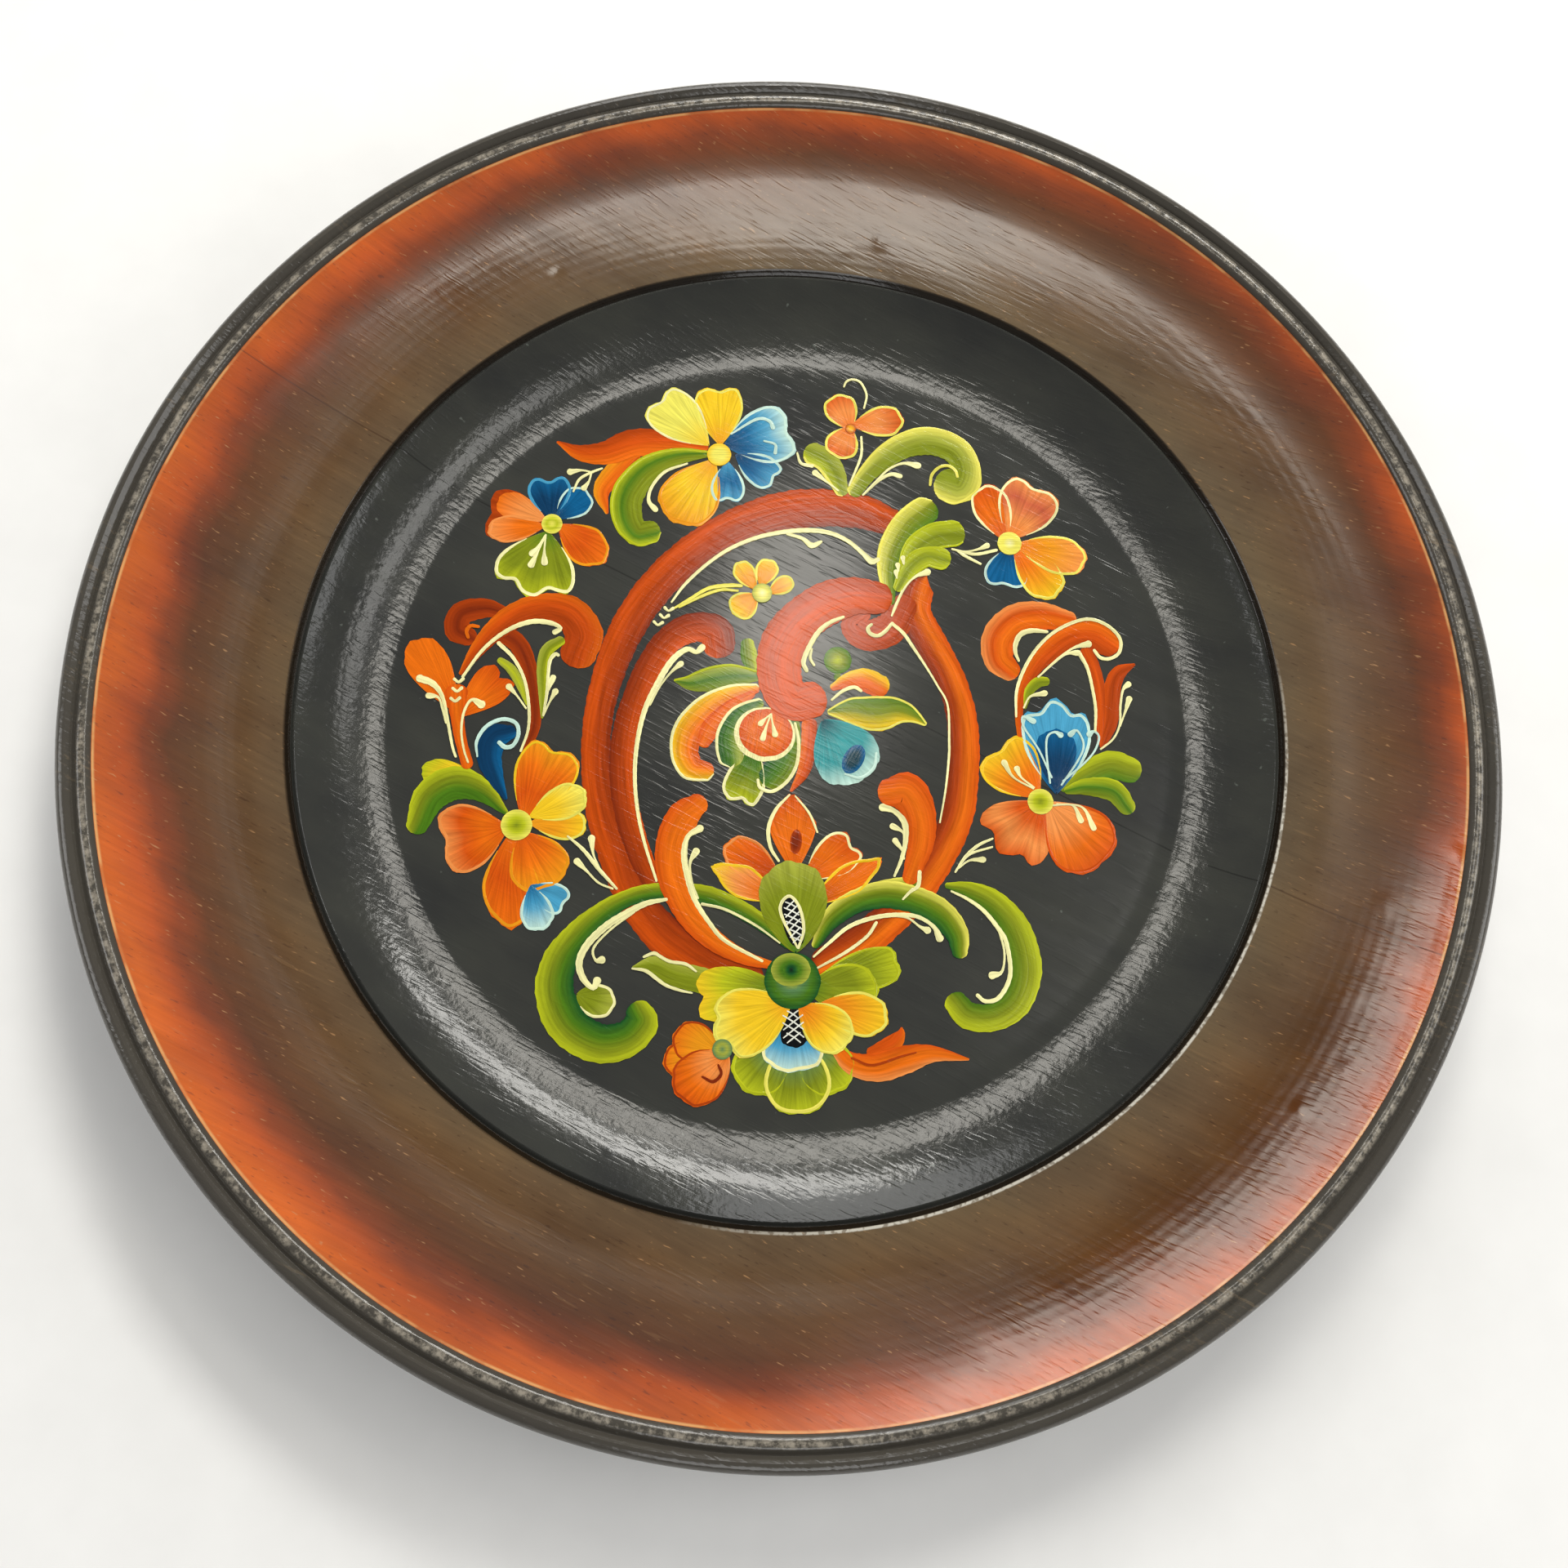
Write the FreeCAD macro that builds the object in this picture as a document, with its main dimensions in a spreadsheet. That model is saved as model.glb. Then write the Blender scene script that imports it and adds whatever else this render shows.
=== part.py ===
import FreeCAD, Part
import math
import os

import Sketcher

# A turned and painted wooden plate, in millimetres.
#
# Frame: +Z is up and is the axis that the plate was turned about. The origin is the centre of the
# plane that the foot ring rests on. +Y points to the top of the painted ornament.
#
# The blank is two boards glued edge to edge. Thin coats of paint lie on it: black on the edge, a
# glaze on the rim, black in the well and black on the underside. The ornament is laid on the black
# floor of the well, motif by motif. The foot ring and the recess inside it are bare wood.

DOCUMENT = "painted_plate"
SHEET = "Sizes"

# Points of the turned section, from the centre of the floor outward over the rim and back under it.
# Each has a radius, a height and the direction (radial, vertical) in which the wood lies under its
# coat, one coat thickness deeper.
DOWN = (0, -1)
UP = (0, 1)
SECTION = {
    "floor_centre": (0.0, 9.1, DOWN),
    "floor_edge": (103.6, 9.1, DOWN),
    "cove_top": (124.6, 18.9, DOWN),
    "groove": (125.9, 17.9, DOWN),
    "shoulder": (127.2, 19.6, DOWN),
    "rim_edge": (169.2, 31.6, DOWN),
    "bead_inner": (169.4, 32.2, DOWN),
    "bead_rise": (170.1, 32.9, DOWN),
    "bead_top": (171.1, 33.15, DOWN),
    "bead_fall": (172.1, 32.9, DOWN),
    "bead_outer": (172.8, 32.2, DOWN),
    "quirk": (173.7, 31.7, DOWN),
    "lip_top": (175.05, 33.19, DOWN),
    "lip_under": (175.05, 26.81, UP),
    "belly": (120.0, 8.6, UP),
    "foot_top": (112.0, 3.5, UP),
    "foot_outer": (110.0, 0.0, UP),
    "foot_inner": (102.0, 0.0, UP),
    "recess_edge": (101.0, 3.0, UP),
    "recess_centre": (0.0, 3.0, UP),
}

# Round stretches of the section: the sheet's name for the radius, its value, the side that the
# centre is on when going outward (1 is left, -1 is right), and how many coat thicknesses smaller
# the radius is on the wood.
ARCS = {
    ("floor_edge", "cove_top"): ("cove_arc", 44.8, 1, 0),
    ("shoulder", "rim_edge"): ("rim_arc", 125.0, 1, 0),
    ("lip_top", "lip_under"): ("lip_arc", 3.2, -1, 1),
    ("lip_under", "belly"): ("underside_arc", 200.0, -1, 0),
    ("belly", "foot_top"): ("foot_arc", 14.0, 1, 0),
}

# Each coat covers the section from one point to another.
COATS = {
    "well_coat": ("floor_centre", "groove"),
    "rim_coat": ("groove", "rim_edge"),
    "edge_coat": ("rim_edge", "lip_under"),
    "underside_coat": ("lip_under", "foot_top"),
}

OTHER_SIZES = {
    "coat_thickness": 0.3,
    "grain_angle": 28.0,      # how far the grain falls, going along +X
    "glue_line_offset": 16.0,  # from the plate's axis to the glue line, towards +X +Y
    "board_length": 400.0,
    "board_width": 200.0,
    "board_height": 40.0,
}

# Painted motifs: centre x and y, half length, half width, and the angle of the length from +X.
MOTIFS = {
    "centre_scroll_paint": (13.0, 25.0, 19.0, 15.0, 0.0),
    "small_flower_paint": (-17.0, 40.0, 8.0, 6.0, 0.0),
    "inner_scroll_paint": (-33.5, -3.0, 26.0, 3.5, 90.0),
    "middle_flower_paint": (-10.0, -4.0, 17.0, 13.0, 0.0),
    "bell_flower_paint": (18.0, -3.0, 10.5, 9.5, 0.0),
    "lotus_paint": (2.0, -33.0, 18.0, 12.0, 0.0),
    "left_comma_paint": (-26.0, -33.0, 13.0, 4.0, 90.0),
    "right_comma_paint": (26.5, -26.0, 12.0, 4.0, 90.0),
    "crest_flower_paint": (-27.0, 80.0, 25.0, 14.0, 0.0),
    "upper_left_flower_paint": (-65.0, 52.0, 14.0, 13.0, 0.0),
    "left_scroll_paint": (-74.0, 16.0, 20.0, 18.0, 0.0),
    "left_flower_paint": (-73.0, -24.0, 19.0, 18.0, 0.0),
    "blue_bud_paint": (-64.0, -48.0, 5.0, 4.0, 0.0),
    "left_green_scroll_paint": (-47.0, -67.0, 18.0, 12.0, 90.0),
    "right_green_scroll_paint": (49.0, -64.0, 18.0, 12.0, 90.0),
    "knob_leaves_paint": (1.0, -78.0, 17.0, 16.0, 90.0),
    "lower_bud_paint": (-25.0, -88.0, 7.0, 6.0, 0.0),
    "flame_leaf_paint": (31.0, -85.0, 12.0, 4.0, 0.0),
    "right_flower_paint": (70.0, -18.0, 19.0, 18.0, 0.0),
    "right_scroll_paint": (70.0, 19.0, 19.0, 16.0, 0.0),
    "upper_right_flower_paint": (65.0, 53.0, 14.5, 14.0, 0.0),
    "crest_scroll_paint": (30.0, 73.0, 20.0, 9.0, 0.0),
    "crest_blossom_paint": (20.0, 90.0, 8.0, 6.0, 0.0),
    "lobed_leaf_paint": (42.0, 52.0, 7.0, 6.0, 90.0),
}
MOTIF_FIELDS = ("centre_x", "centre_y", "half_length", "half_width", "angle")

# The oval ring scroll that frames the middle motifs: outside and inside of its stroke.
RING_OUTSIDE = (-2.0, -1.0, 68.0, 51.0, 90.0)
RING_INSIDE = (-2.0, -1.0, 58.0, 41.0, 90.0)
RING_NODE = "ring_scroll_paint"


def cell(alias):
    """The expression that reads a size from the sheet."""
    return f"{SHEET}.{alias}"


def add_sheet(document):
    """Writes every driving dimension in the sheet, one row each, and returns its values."""
    sheet = document.addObject("Spreadsheet::Sheet", SHEET)
    values = dict(OTHER_SIZES)
    for point, (radius, height, _) in SECTION.items():
        values[point + "_radius"] = radius
        values[point + "_height"] = height
    for alias, radius, _, _ in ARCS.values():
        values[alias] = radius
    ovals = dict(MOTIFS, ring_outside=RING_OUTSIDE, ring_inside=RING_INSIDE)
    for name, numbers in ovals.items():
        for field, number in zip(MOTIF_FIELDS, numbers):
            values[f"{name}_{field}"] = number
    for row, (alias, value) in enumerate(values.items(), start=1):
        sheet.set(f"A{row}", alias)
        sheet.set(f"B{row}", str(value))
        sheet.setAlias(f"B{row}", alias)
    document.recompute()
    return values


class Corner:
    """One corner of an outline: a point of the section, on the finished surface or on the wood."""

    def __init__(self, point, on_wood, values):
        self.point = point
        self.on_wood = on_wood
        step = SECTION[point][2] if on_wood else (0, 0)
        coat = values["coat_thickness"]
        self.radius = values[point + "_radius"] + step[0] * coat
        self.height = values[point + "_height"] + step[1] * coat
        self.radius_text = self._text("_radius", step[0])
        self.height_text = self._text("_height", step[1])

    def _text(self, ending, step):
        return f"{cell(self.point + ending)} + {step} * {cell('coat_thickness')}"

    def vector(self):
        return FreeCAD.Vector(self.radius, self.height, 0)


def arc_between(start, end, values):
    """The radius, its expression and the centre's side for two corners, or None if straight."""
    if start.on_wood != end.on_wood:
        return None
    for pair, turn in (((start.point, end.point), 1), ((end.point, start.point), -1)):
        if pair in ARCS:
            alias, _, side, thinner = ARCS[pair]
            thinner = thinner if start.on_wood else 0
            radius = values[alias] - thinner * values["coat_thickness"]
            text = f"{cell(alias)} - {thinner} * {cell('coat_thickness')}"
            return radius, text, side * turn
    return None


def arc_geometry(start, end, radius, side):
    """The shorter arc from start to end, with its centre on the given side of the way."""
    chord = end - start
    half = chord.Length / 2
    left = FreeCAD.Vector(-chord.y, chord.x, 0).normalize()
    centre = (start + end) / 2 + left * side * math.sqrt(radius ** 2 - half ** 2)
    first, last = (start, end) if side > 0 else (end, start)
    angles = [math.atan2(p.y - centre.y, p.x - centre.x) for p in (first, last)]
    circle = Part.Circle(centre, FreeCAD.Vector(0, 0, 1), radius)
    return Part.ArcOfCircle(circle, angles[0], angles[1])


def name_and_bind(sketch, index, name, text):
    sketch.renameConstraint(index, name)
    sketch.setExpression("Constraints." + name, text)


def draw_outline(sketch, corners, values):
    """Draws a closed outline of lines and arcs, with every corner and radius bound to the sheet."""
    count = len(corners)
    starts = []
    ends = []
    for index, corner in enumerate(corners):
        following = corners[(index + 1) % count]
        arc = arc_between(corner, following, values)
        if arc is None:
            sketch.addGeometry(Part.LineSegment(corner.vector(), following.vector()))
            starts.append(1)
            ends.append(2)
            continue
        radius, text, side = arc
        sketch.addGeometry(arc_geometry(corner.vector(), following.vector(), radius, side))
        starts.append(1 if side > 0 else 2)
        ends.append(2 if side > 0 else 1)
        bound = sketch.addConstraint(Sketcher.Constraint("Radius", index, radius))
        name_and_bind(sketch, bound, f"round_{index}", text)
    for index, corner in enumerate(corners):
        before = (index - 1) % count
        place = (index, starts[index])
        sketch.addConstraint(Sketcher.Constraint("Coincident", before, ends[before], *place))
        if corner.radius == 0:
            sketch.addConstraint(Sketcher.Constraint("PointOnObject", *place, -2))
        else:
            bound = sketch.addConstraint(Sketcher.Constraint("DistanceX", -1, 1, *place, corner.radius))
            name_and_bind(sketch, bound, f"radius_{index}", corner.radius_text)
        if corner.height == 0:
            sketch.addConstraint(Sketcher.Constraint("PointOnObject", *place, -1))
        else:
            bound = sketch.addConstraint(Sketcher.Constraint("DistanceY", -1, 1, *place, corner.height))
            name_and_bind(sketch, bound, f"height_{index}", corner.height_text)


def turned_body(document, name, corners, values):
    """A body made by turning a closed outline about the plate's axis."""
    body = document.addObject("PartDesign::Body", name)
    body.Label = name
    sketch = body.newObject("Sketcher::SketchObject", name + "_outline")
    plane = [item for item in body.Origin.OriginFeatures if item.Role == "XZ_Plane"][0]
    sketch.AttachmentSupport = [(plane, "")]
    sketch.MapMode = "FlatFace"
    draw_outline(sketch, corners, values)
    turning = body.newObject("PartDesign::Revolution", name + "_turning")
    turning.Profile = sketch
    turning.ReferenceAxis = (sketch, ["V_Axis"])
    turning.Angle = 360
    body.Placement = FreeCAD.Placement()
    return body


def stretch(first, last):
    """The names of the section's points from first to last."""
    names = list(SECTION)
    return names[names.index(first):names.index(last) + 1]


def turned_blank(document, values):
    """The whole turned wood, before it is divided into its boards."""
    coated = stretch("floor_centre", "foot_top")
    bare = stretch("foot_top", "recess_centre")
    corners = [Corner(point, True, values) for point in coated]
    corners += [Corner(point, False, values) for point in bare]
    return turned_body(document, "turned_blank", corners, values)


def coat(document, name, values):
    """A film on one stretch of the section, face to face with the wood."""
    points = stretch(*COATS[name])
    corners = [Corner(point, False, values) for point in points]
    corners += [Corner(point, True, values) for point in reversed(points)]
    return turned_body(document, name, corners, values)


def boards(document, blank):
    """The two boards: the blank on either side of the glue line, which runs along the grain."""
    angle = f"({cell('grain_angle')} * 1 deg)"
    half_length = f"{cell('board_length')} / 2"
    sides = {
        "upper_board": f"{cell('glue_line_offset')}",
        "lower_board": f"{cell('glue_line_offset')} - {cell('board_width')}",
    }
    made = []
    for name, inner_side in sides.items():
        plank = document.addObject("Part::Box", name + "_plank")
        plank.setExpression("Length", cell("board_length"))
        plank.setExpression("Width", cell("board_width"))
        plank.setExpression("Height", cell("board_height"))
        along = f"-({half_length}) * cos({angle}) + ({inner_side}) * sin({angle})"
        across = f"({half_length}) * sin({angle}) + ({inner_side}) * cos({angle})"
        plank.setExpression("Placement.Base.x", along)
        plank.setExpression("Placement.Base.y", across)
        plank.setExpression("Placement.Rotation.Angle", f"-{angle}")
        board = document.addObject("Part::Common", name)
        board.Base = blank
        board.Tool = plank
        board.Label = name
        made.append(board)
    return made


def oval_film(document, name, sizes_name):
    """An oval of paint, one coat thick, on the floor of the well."""
    oval = document.addObject("Part::Ellipse", name + "_oval")
    oval.setExpression("MajorRadius", cell(sizes_name + "_half_length"))
    oval.setExpression("MinorRadius", cell(sizes_name + "_half_width"))
    oval.setExpression("Placement.Base.x", cell(sizes_name + "_centre_x"))
    oval.setExpression("Placement.Base.y", cell(sizes_name + "_centre_y"))
    oval.setExpression("Placement.Base.z", cell("floor_edge_height"))
    oval.setExpression("Placement.Rotation.Angle", cell(sizes_name + "_angle") + " * 1 deg")
    film = document.addObject("Part::Extrusion", name)
    film.Base = oval
    film.DirMode = "Custom"
    film.Dir = FreeCAD.Vector(0, 0, 1)
    film.setExpression("LengthFwd", cell("coat_thickness"))
    film.Solid = True
    film.Label = name
    return film


def ring_film(document, knob):
    """The oval ring scroll, cut away where the knob and its leaves cover its foot."""
    ring = document.addObject("Part::Cut", "whole_ring")
    ring.Base = oval_film(document, "ring_outside_film", "ring_outside")
    ring.Tool = oval_film(document, "ring_inside_film", "ring_inside")
    open_ring = document.addObject("Part::Cut", RING_NODE)
    open_ring.Base = ring
    open_ring.Tool = knob
    open_ring.Label = RING_NODE
    return open_ring


def check(document, nodes):
    """Stops if any object failed or any node is not one or more sound solids."""
    for item in document.Objects:
        if "Invalid" in item.State or "Error" in item.State:
            raise RuntimeError(f"{item.Name} failed: {item.State}")
    for node in nodes:
        shape = node.Shape
        if shape.isNull() or not shape.isValid() or not shape.Solids:
            raise RuntimeError(f"{node.Label} is not a sound solid")


def main():
    document = FreeCAD.newDocument(DOCUMENT)
    values = add_sheet(document)
    blank = turned_blank(document, values)
    nodes = boards(document, blank)
    nodes += [coat(document, name, values) for name in COATS]
    motifs = {name: oval_film(document, name, name) for name in MOTIFS}
    nodes += list(motifs.values())
    nodes.append(ring_film(document, motifs["knob_leaves_paint"]))
    document.recompute()
    check(document, nodes)
    os.makedirs("parts", exist_ok=True)
    for node in nodes:
        node.Shape.exportStep(f"parts/{node.Label}.step")
        print(f"{node.Label}: {node.Shape.Volume:.1f} cubic mm, {len(node.Shape.Solids)} solid(s)")


main()
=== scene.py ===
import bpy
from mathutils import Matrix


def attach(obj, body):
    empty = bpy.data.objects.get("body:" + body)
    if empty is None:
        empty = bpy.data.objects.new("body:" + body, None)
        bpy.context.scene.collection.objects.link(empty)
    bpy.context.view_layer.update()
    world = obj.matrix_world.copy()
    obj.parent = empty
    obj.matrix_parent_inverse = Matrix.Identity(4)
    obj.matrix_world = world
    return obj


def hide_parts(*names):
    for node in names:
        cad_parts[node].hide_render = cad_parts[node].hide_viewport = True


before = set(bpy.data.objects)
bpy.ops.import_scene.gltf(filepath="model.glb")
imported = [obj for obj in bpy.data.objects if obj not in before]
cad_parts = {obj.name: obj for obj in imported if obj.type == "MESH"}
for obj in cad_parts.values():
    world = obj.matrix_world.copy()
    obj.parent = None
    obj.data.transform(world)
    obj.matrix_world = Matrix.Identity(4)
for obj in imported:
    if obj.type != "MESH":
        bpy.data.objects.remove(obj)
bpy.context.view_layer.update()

import math

import bmesh
import bpy
import numpy as np
from mathutils import Matrix, Vector

# A turned wooden plate with rosemaling. Lengths below are in millimetres in the CAD frame:
# +Z up along the turning axis, +Y towards the top of the ornament, the foot ring on z = 0.

MM = 0.001
FLOOR = 9.1                  # height of the flat painted floor
COAT = 0.3                   # thickness of a paint coat on the wood
GRAIN = math.radians(-28)    # direction of the wood grain
JOINT = 16                   # distance of the glue line from the turning axis
SEGMENTS = 720               # steps around each turned piece
HAZE = 0.010                 # light that the varnish lays over every colour
STUDIO_GAIN = 1.10           # how much brighter the studio shows a colour
DARKEST = 0.0015
rng = np.random.default_rng(12)


def srgb(r, g, b):
    """Linear paint colour that looks like these everyday 0-255 values once the varnish adds its haze."""
    c = np.array([r, g, b]) / 255
    linear = np.where(c <= 0.04045, c / 12.92, ((c + 0.055) / 1.055) ** 2.4)
    return np.maximum((linear - HAZE) / STUDIO_GAIN, DARKEST)


PALETTE = {
    "black": srgb(30, 31, 32),
    "darkrust": srgb(124, 48, 14), "rust": srgb(166, 66, 16), "redorange": srgb(202, 82, 22),
    "orange": srgb(222, 108, 30), "amber": srgb(226, 148, 36), "peach": srgb(228, 142, 76),
    "pinkrust": srgb(190, 92, 66), "yellow": srgb(232, 192, 44), "lemon": srgb(226, 218, 96),
    "cream": srgb(234, 230, 168), "white": srgb(226, 228, 214),
    "lime": srgb(178, 186, 40), "lightolive": srgb(160, 166, 66), "olive": srgb(124, 136, 36),
    "green": srgb(74, 116, 34), "deepgreen": srgb(34, 82, 44), "greygreen": srgb(88, 126, 84),
    "deepblue": srgb(14, 60, 92), "blue": srgb(26, 92, 138), "sky": srgb(74, 152, 188),
    "pale": srgb(190, 220, 206), "teal": srgb(62, 148, 150), "darkteal": srgb(14, 62, 74),
}


# ---------------------------------------------------------------- turned surfaces

# Corners of the turned section: radius and height.
S = {
    "floor_centre": (0.0, FLOOR), "floor_edge": (103.6, FLOOR), "cove_top": (124.6, 18.9),
    "groove": (125.9, 17.9), "shoulder": (127.2, 19.6), "rim_edge": (169.2, 31.6),
    "bead_inner": (169.4, 32.2), "bead_outer": (172.8, 32.2), "quirk": (173.7, 31.7),
    "lip_top": (175.05, 33.19), "lip_under": (175.05, 26.81), "belly": (120.0, 8.6),
    "foot_top": (112.0, 3.5), "foot_outer": (110.0, 0.0), "foot_inner": (102.0, 0.0),
    "recess_edge": (101.0, 3.0), "recess_centre": (0.0, 3.0),
}


def arc(start, end, radius, side, count):
    """Points from start to end on a circle whose centre is left (1) or right (-1) of the way."""
    p, q = np.array(start, float), np.array(end, float)
    along = q - p
    half = np.linalg.norm(along) / 2
    left = np.array([-along[1], along[0]]) / (2 * half)
    centre = (p + q) / 2 + side * left * math.sqrt(max(radius * radius - half * half, 0))
    a, b = (math.atan2(*(v - centre)[::-1]) for v in (p, q))
    if side > 0 and b < a:
        b += 2 * math.pi
    if side < 0 and b > a:
        b -= 2 * math.pi
    t = np.linspace(a, b, count)
    return [tuple(centre + radius * np.array([math.cos(v), math.sin(v)])) for v in t]


def straight(start, end, count):
    return [tuple(np.array(start) + (np.array(end) - start) * t) for t in np.linspace(0, 1, count)]


def joined(*stretches):
    """One outline from stretches that share their end points."""
    points = list(stretches[0])
    for stretch in stretches[1:]:
        points += stretch[1:]
    return points


def tangents(points):
    """The unit direction of a path at each of its points."""
    way = np.gradient(points, axis=0)
    return way / (np.linalg.norm(way, axis=1)[:, None] + 1e-9)


def lowered(points):
    """The outline moved one coat into the wood, square to itself."""
    p = np.array(points)
    way = tangents(p)
    moved = p + COAT * np.stack([way[:, 1], -way[:, 0]], 1)
    moved[0, 0], moved[-1, 0] = p[0, 0], p[-1, 0]
    return [tuple(v) for v in moved]


floor_line = joined(straight(S["floor_centre"], S["floor_edge"], 27),
                    arc(S["floor_edge"], S["cove_top"], 44.8, 1, 26),
                    [S["cove_top"], (124.95, 18.75), (125.35, 18.15), S["groove"]])
rim_line = joined([S["groove"], (126.45, 18.3), (126.75, 19.1), S["shoulder"]],
                  arc(S["shoulder"], S["rim_edge"], 125.0, 1, 52))
edge_line = joined([S["rim_edge"], (169.26, 31.95), S["bead_inner"]],
                   arc(S["bead_inner"], S["bead_outer"], 2.0, -1, 14),
                   [S["bead_outer"], (173.25, 31.78), S["quirk"], (174.1, 32.3), S["lip_top"]],
                   arc(S["lip_top"], S["lip_under"], 3.2, -1, 26))
under_line = joined(arc(S["lip_under"], S["belly"], 200.0, -1, 44),
                    arc(S["belly"], S["foot_top"], 14.0, 1, 12))
foot_line = joined([S["foot_top"], (111.3, 1.3), (110.6, 0.3), S["foot_outer"]],
                   straight(S["foot_outer"], S["foot_inner"], 6),
                   [S["foot_inner"], (101.5, 0.7), (101.1, 2.4), S["recess_edge"]],
                   straight(S["recess_edge"], S["recess_centre"], 24))

# Small knocks in the cove, the rim and the edge: radius, angle, size and depth.
DENTS = [(rng.uniform(112, 175), rng.uniform(0, 2 * math.pi), rng.uniform(0.8, 2.2), rng.uniform(0.05, 0.22))
         for _ in range(30)]


def unevenness(x, y, r, z):
    """How far the finished surface lies off its ideal height: hand turning, wood movement, dents."""
    along = x * math.cos(GRAIN) + y * math.sin(GRAIN)
    across = -x * math.sin(GRAIN) + y * math.cos(GRAIN)
    warp = 0.16 * np.sin(across / 31 + 0.6) + 0.10 * np.sin(along / 47 + 2.1) * np.sin(across / 23)
    grain = 0.030 * np.sin(across / 3.1 + 2 * np.sin(along / 55)) * np.sin(along / 29 + across / 8)
    tool_rings = 0.012 * np.sin(r * 2.3) + 0.010 * np.sin(r * 4.1 + 1)
    lift = warp + grain + tool_rings
    for radius, angle, size, depth in DENTS:
        d2 = (x - radius * math.cos(angle)) ** 2 + (y - radius * math.sin(angle)) ** 2
        lift -= depth * np.exp(-d2 / size ** 2)
    above_floor = z > FLOOR - 0.2
    calmer_on_floor = np.clip((r - 84) / 30, 0.12, 1)
    return np.where(above_floor, lift * calmer_on_floor, 0)


def revolve(top, bottom):
    """A closed revolved mesh between two outlines with the same start and end radii."""
    loop = list(top) + list(bottom)[::-1]
    angles = np.arange(SEGMENTS) * 2 * math.pi / SEGMENTS
    verts, rows = [], []
    for radius, height in loop:
        if radius < 1e-6:
            rows.append([len(verts)] * SEGMENTS)
            verts.append((0, 0, height + float(unevenness(0.0, 0.0, 0.0, height))))
            continue
        x, y = radius * np.cos(angles), radius * np.sin(angles)
        z = height + unevenness(x, y, radius, height)
        rows.append(list(range(len(verts), len(verts) + SEGMENTS)))
        verts += list(zip(x, y, z))
    closed = loop[0][0] > 1e-6
    faces = []
    for i in range(len(rows) if closed else len(rows) - 1):
        a, b = rows[i], rows[(i + 1) % len(rows)]
        for k in range(SEGMENTS):
            n = (k + 1) % SEGMENTS
            face = [a[k], a[n], b[n], b[k]] if a[0] != a[1] else [a[k], b[n], b[k]]
            if b[0] == b[1]:
                face = [a[k], a[n], b[k]]
            faces.append(face[::-1])
    return np.array(verts), faces


# ---------------------------------------------------------------- pieces and materials

def new_piece(name, verts, faces, material, replaced=(), colours=None, flows=None):
    """A finished piece of the plate that rides on the one body."""
    mesh = bpy.data.meshes.new(name)
    mesh.from_pydata((np.asarray(verts) * MM).tolist(), [], faces)
    if colours is not None:
        rgba = np.ones((len(verts), 4), np.float32)
        rgba[:, :3] = colours
        mesh.color_attributes.new("paint", "FLOAT_COLOR", "POINT").data.foreach_set("color", rgba.ravel())
        mesh.attributes.new("flow", "FLOAT_VECTOR", "POINT").data.foreach_set(
            "vector", np.asarray(flows, np.float32).ravel())
    mesh.shade_smooth()
    mesh.set_sharp_from_angle(angle=math.radians(38))
    mesh.materials.append(material)
    piece = bpy.data.objects.new(name, mesh)
    bpy.context.scene.collection.objects.link(piece)
    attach(piece, "root")
    if replaced:
        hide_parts(*replaced)


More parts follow.
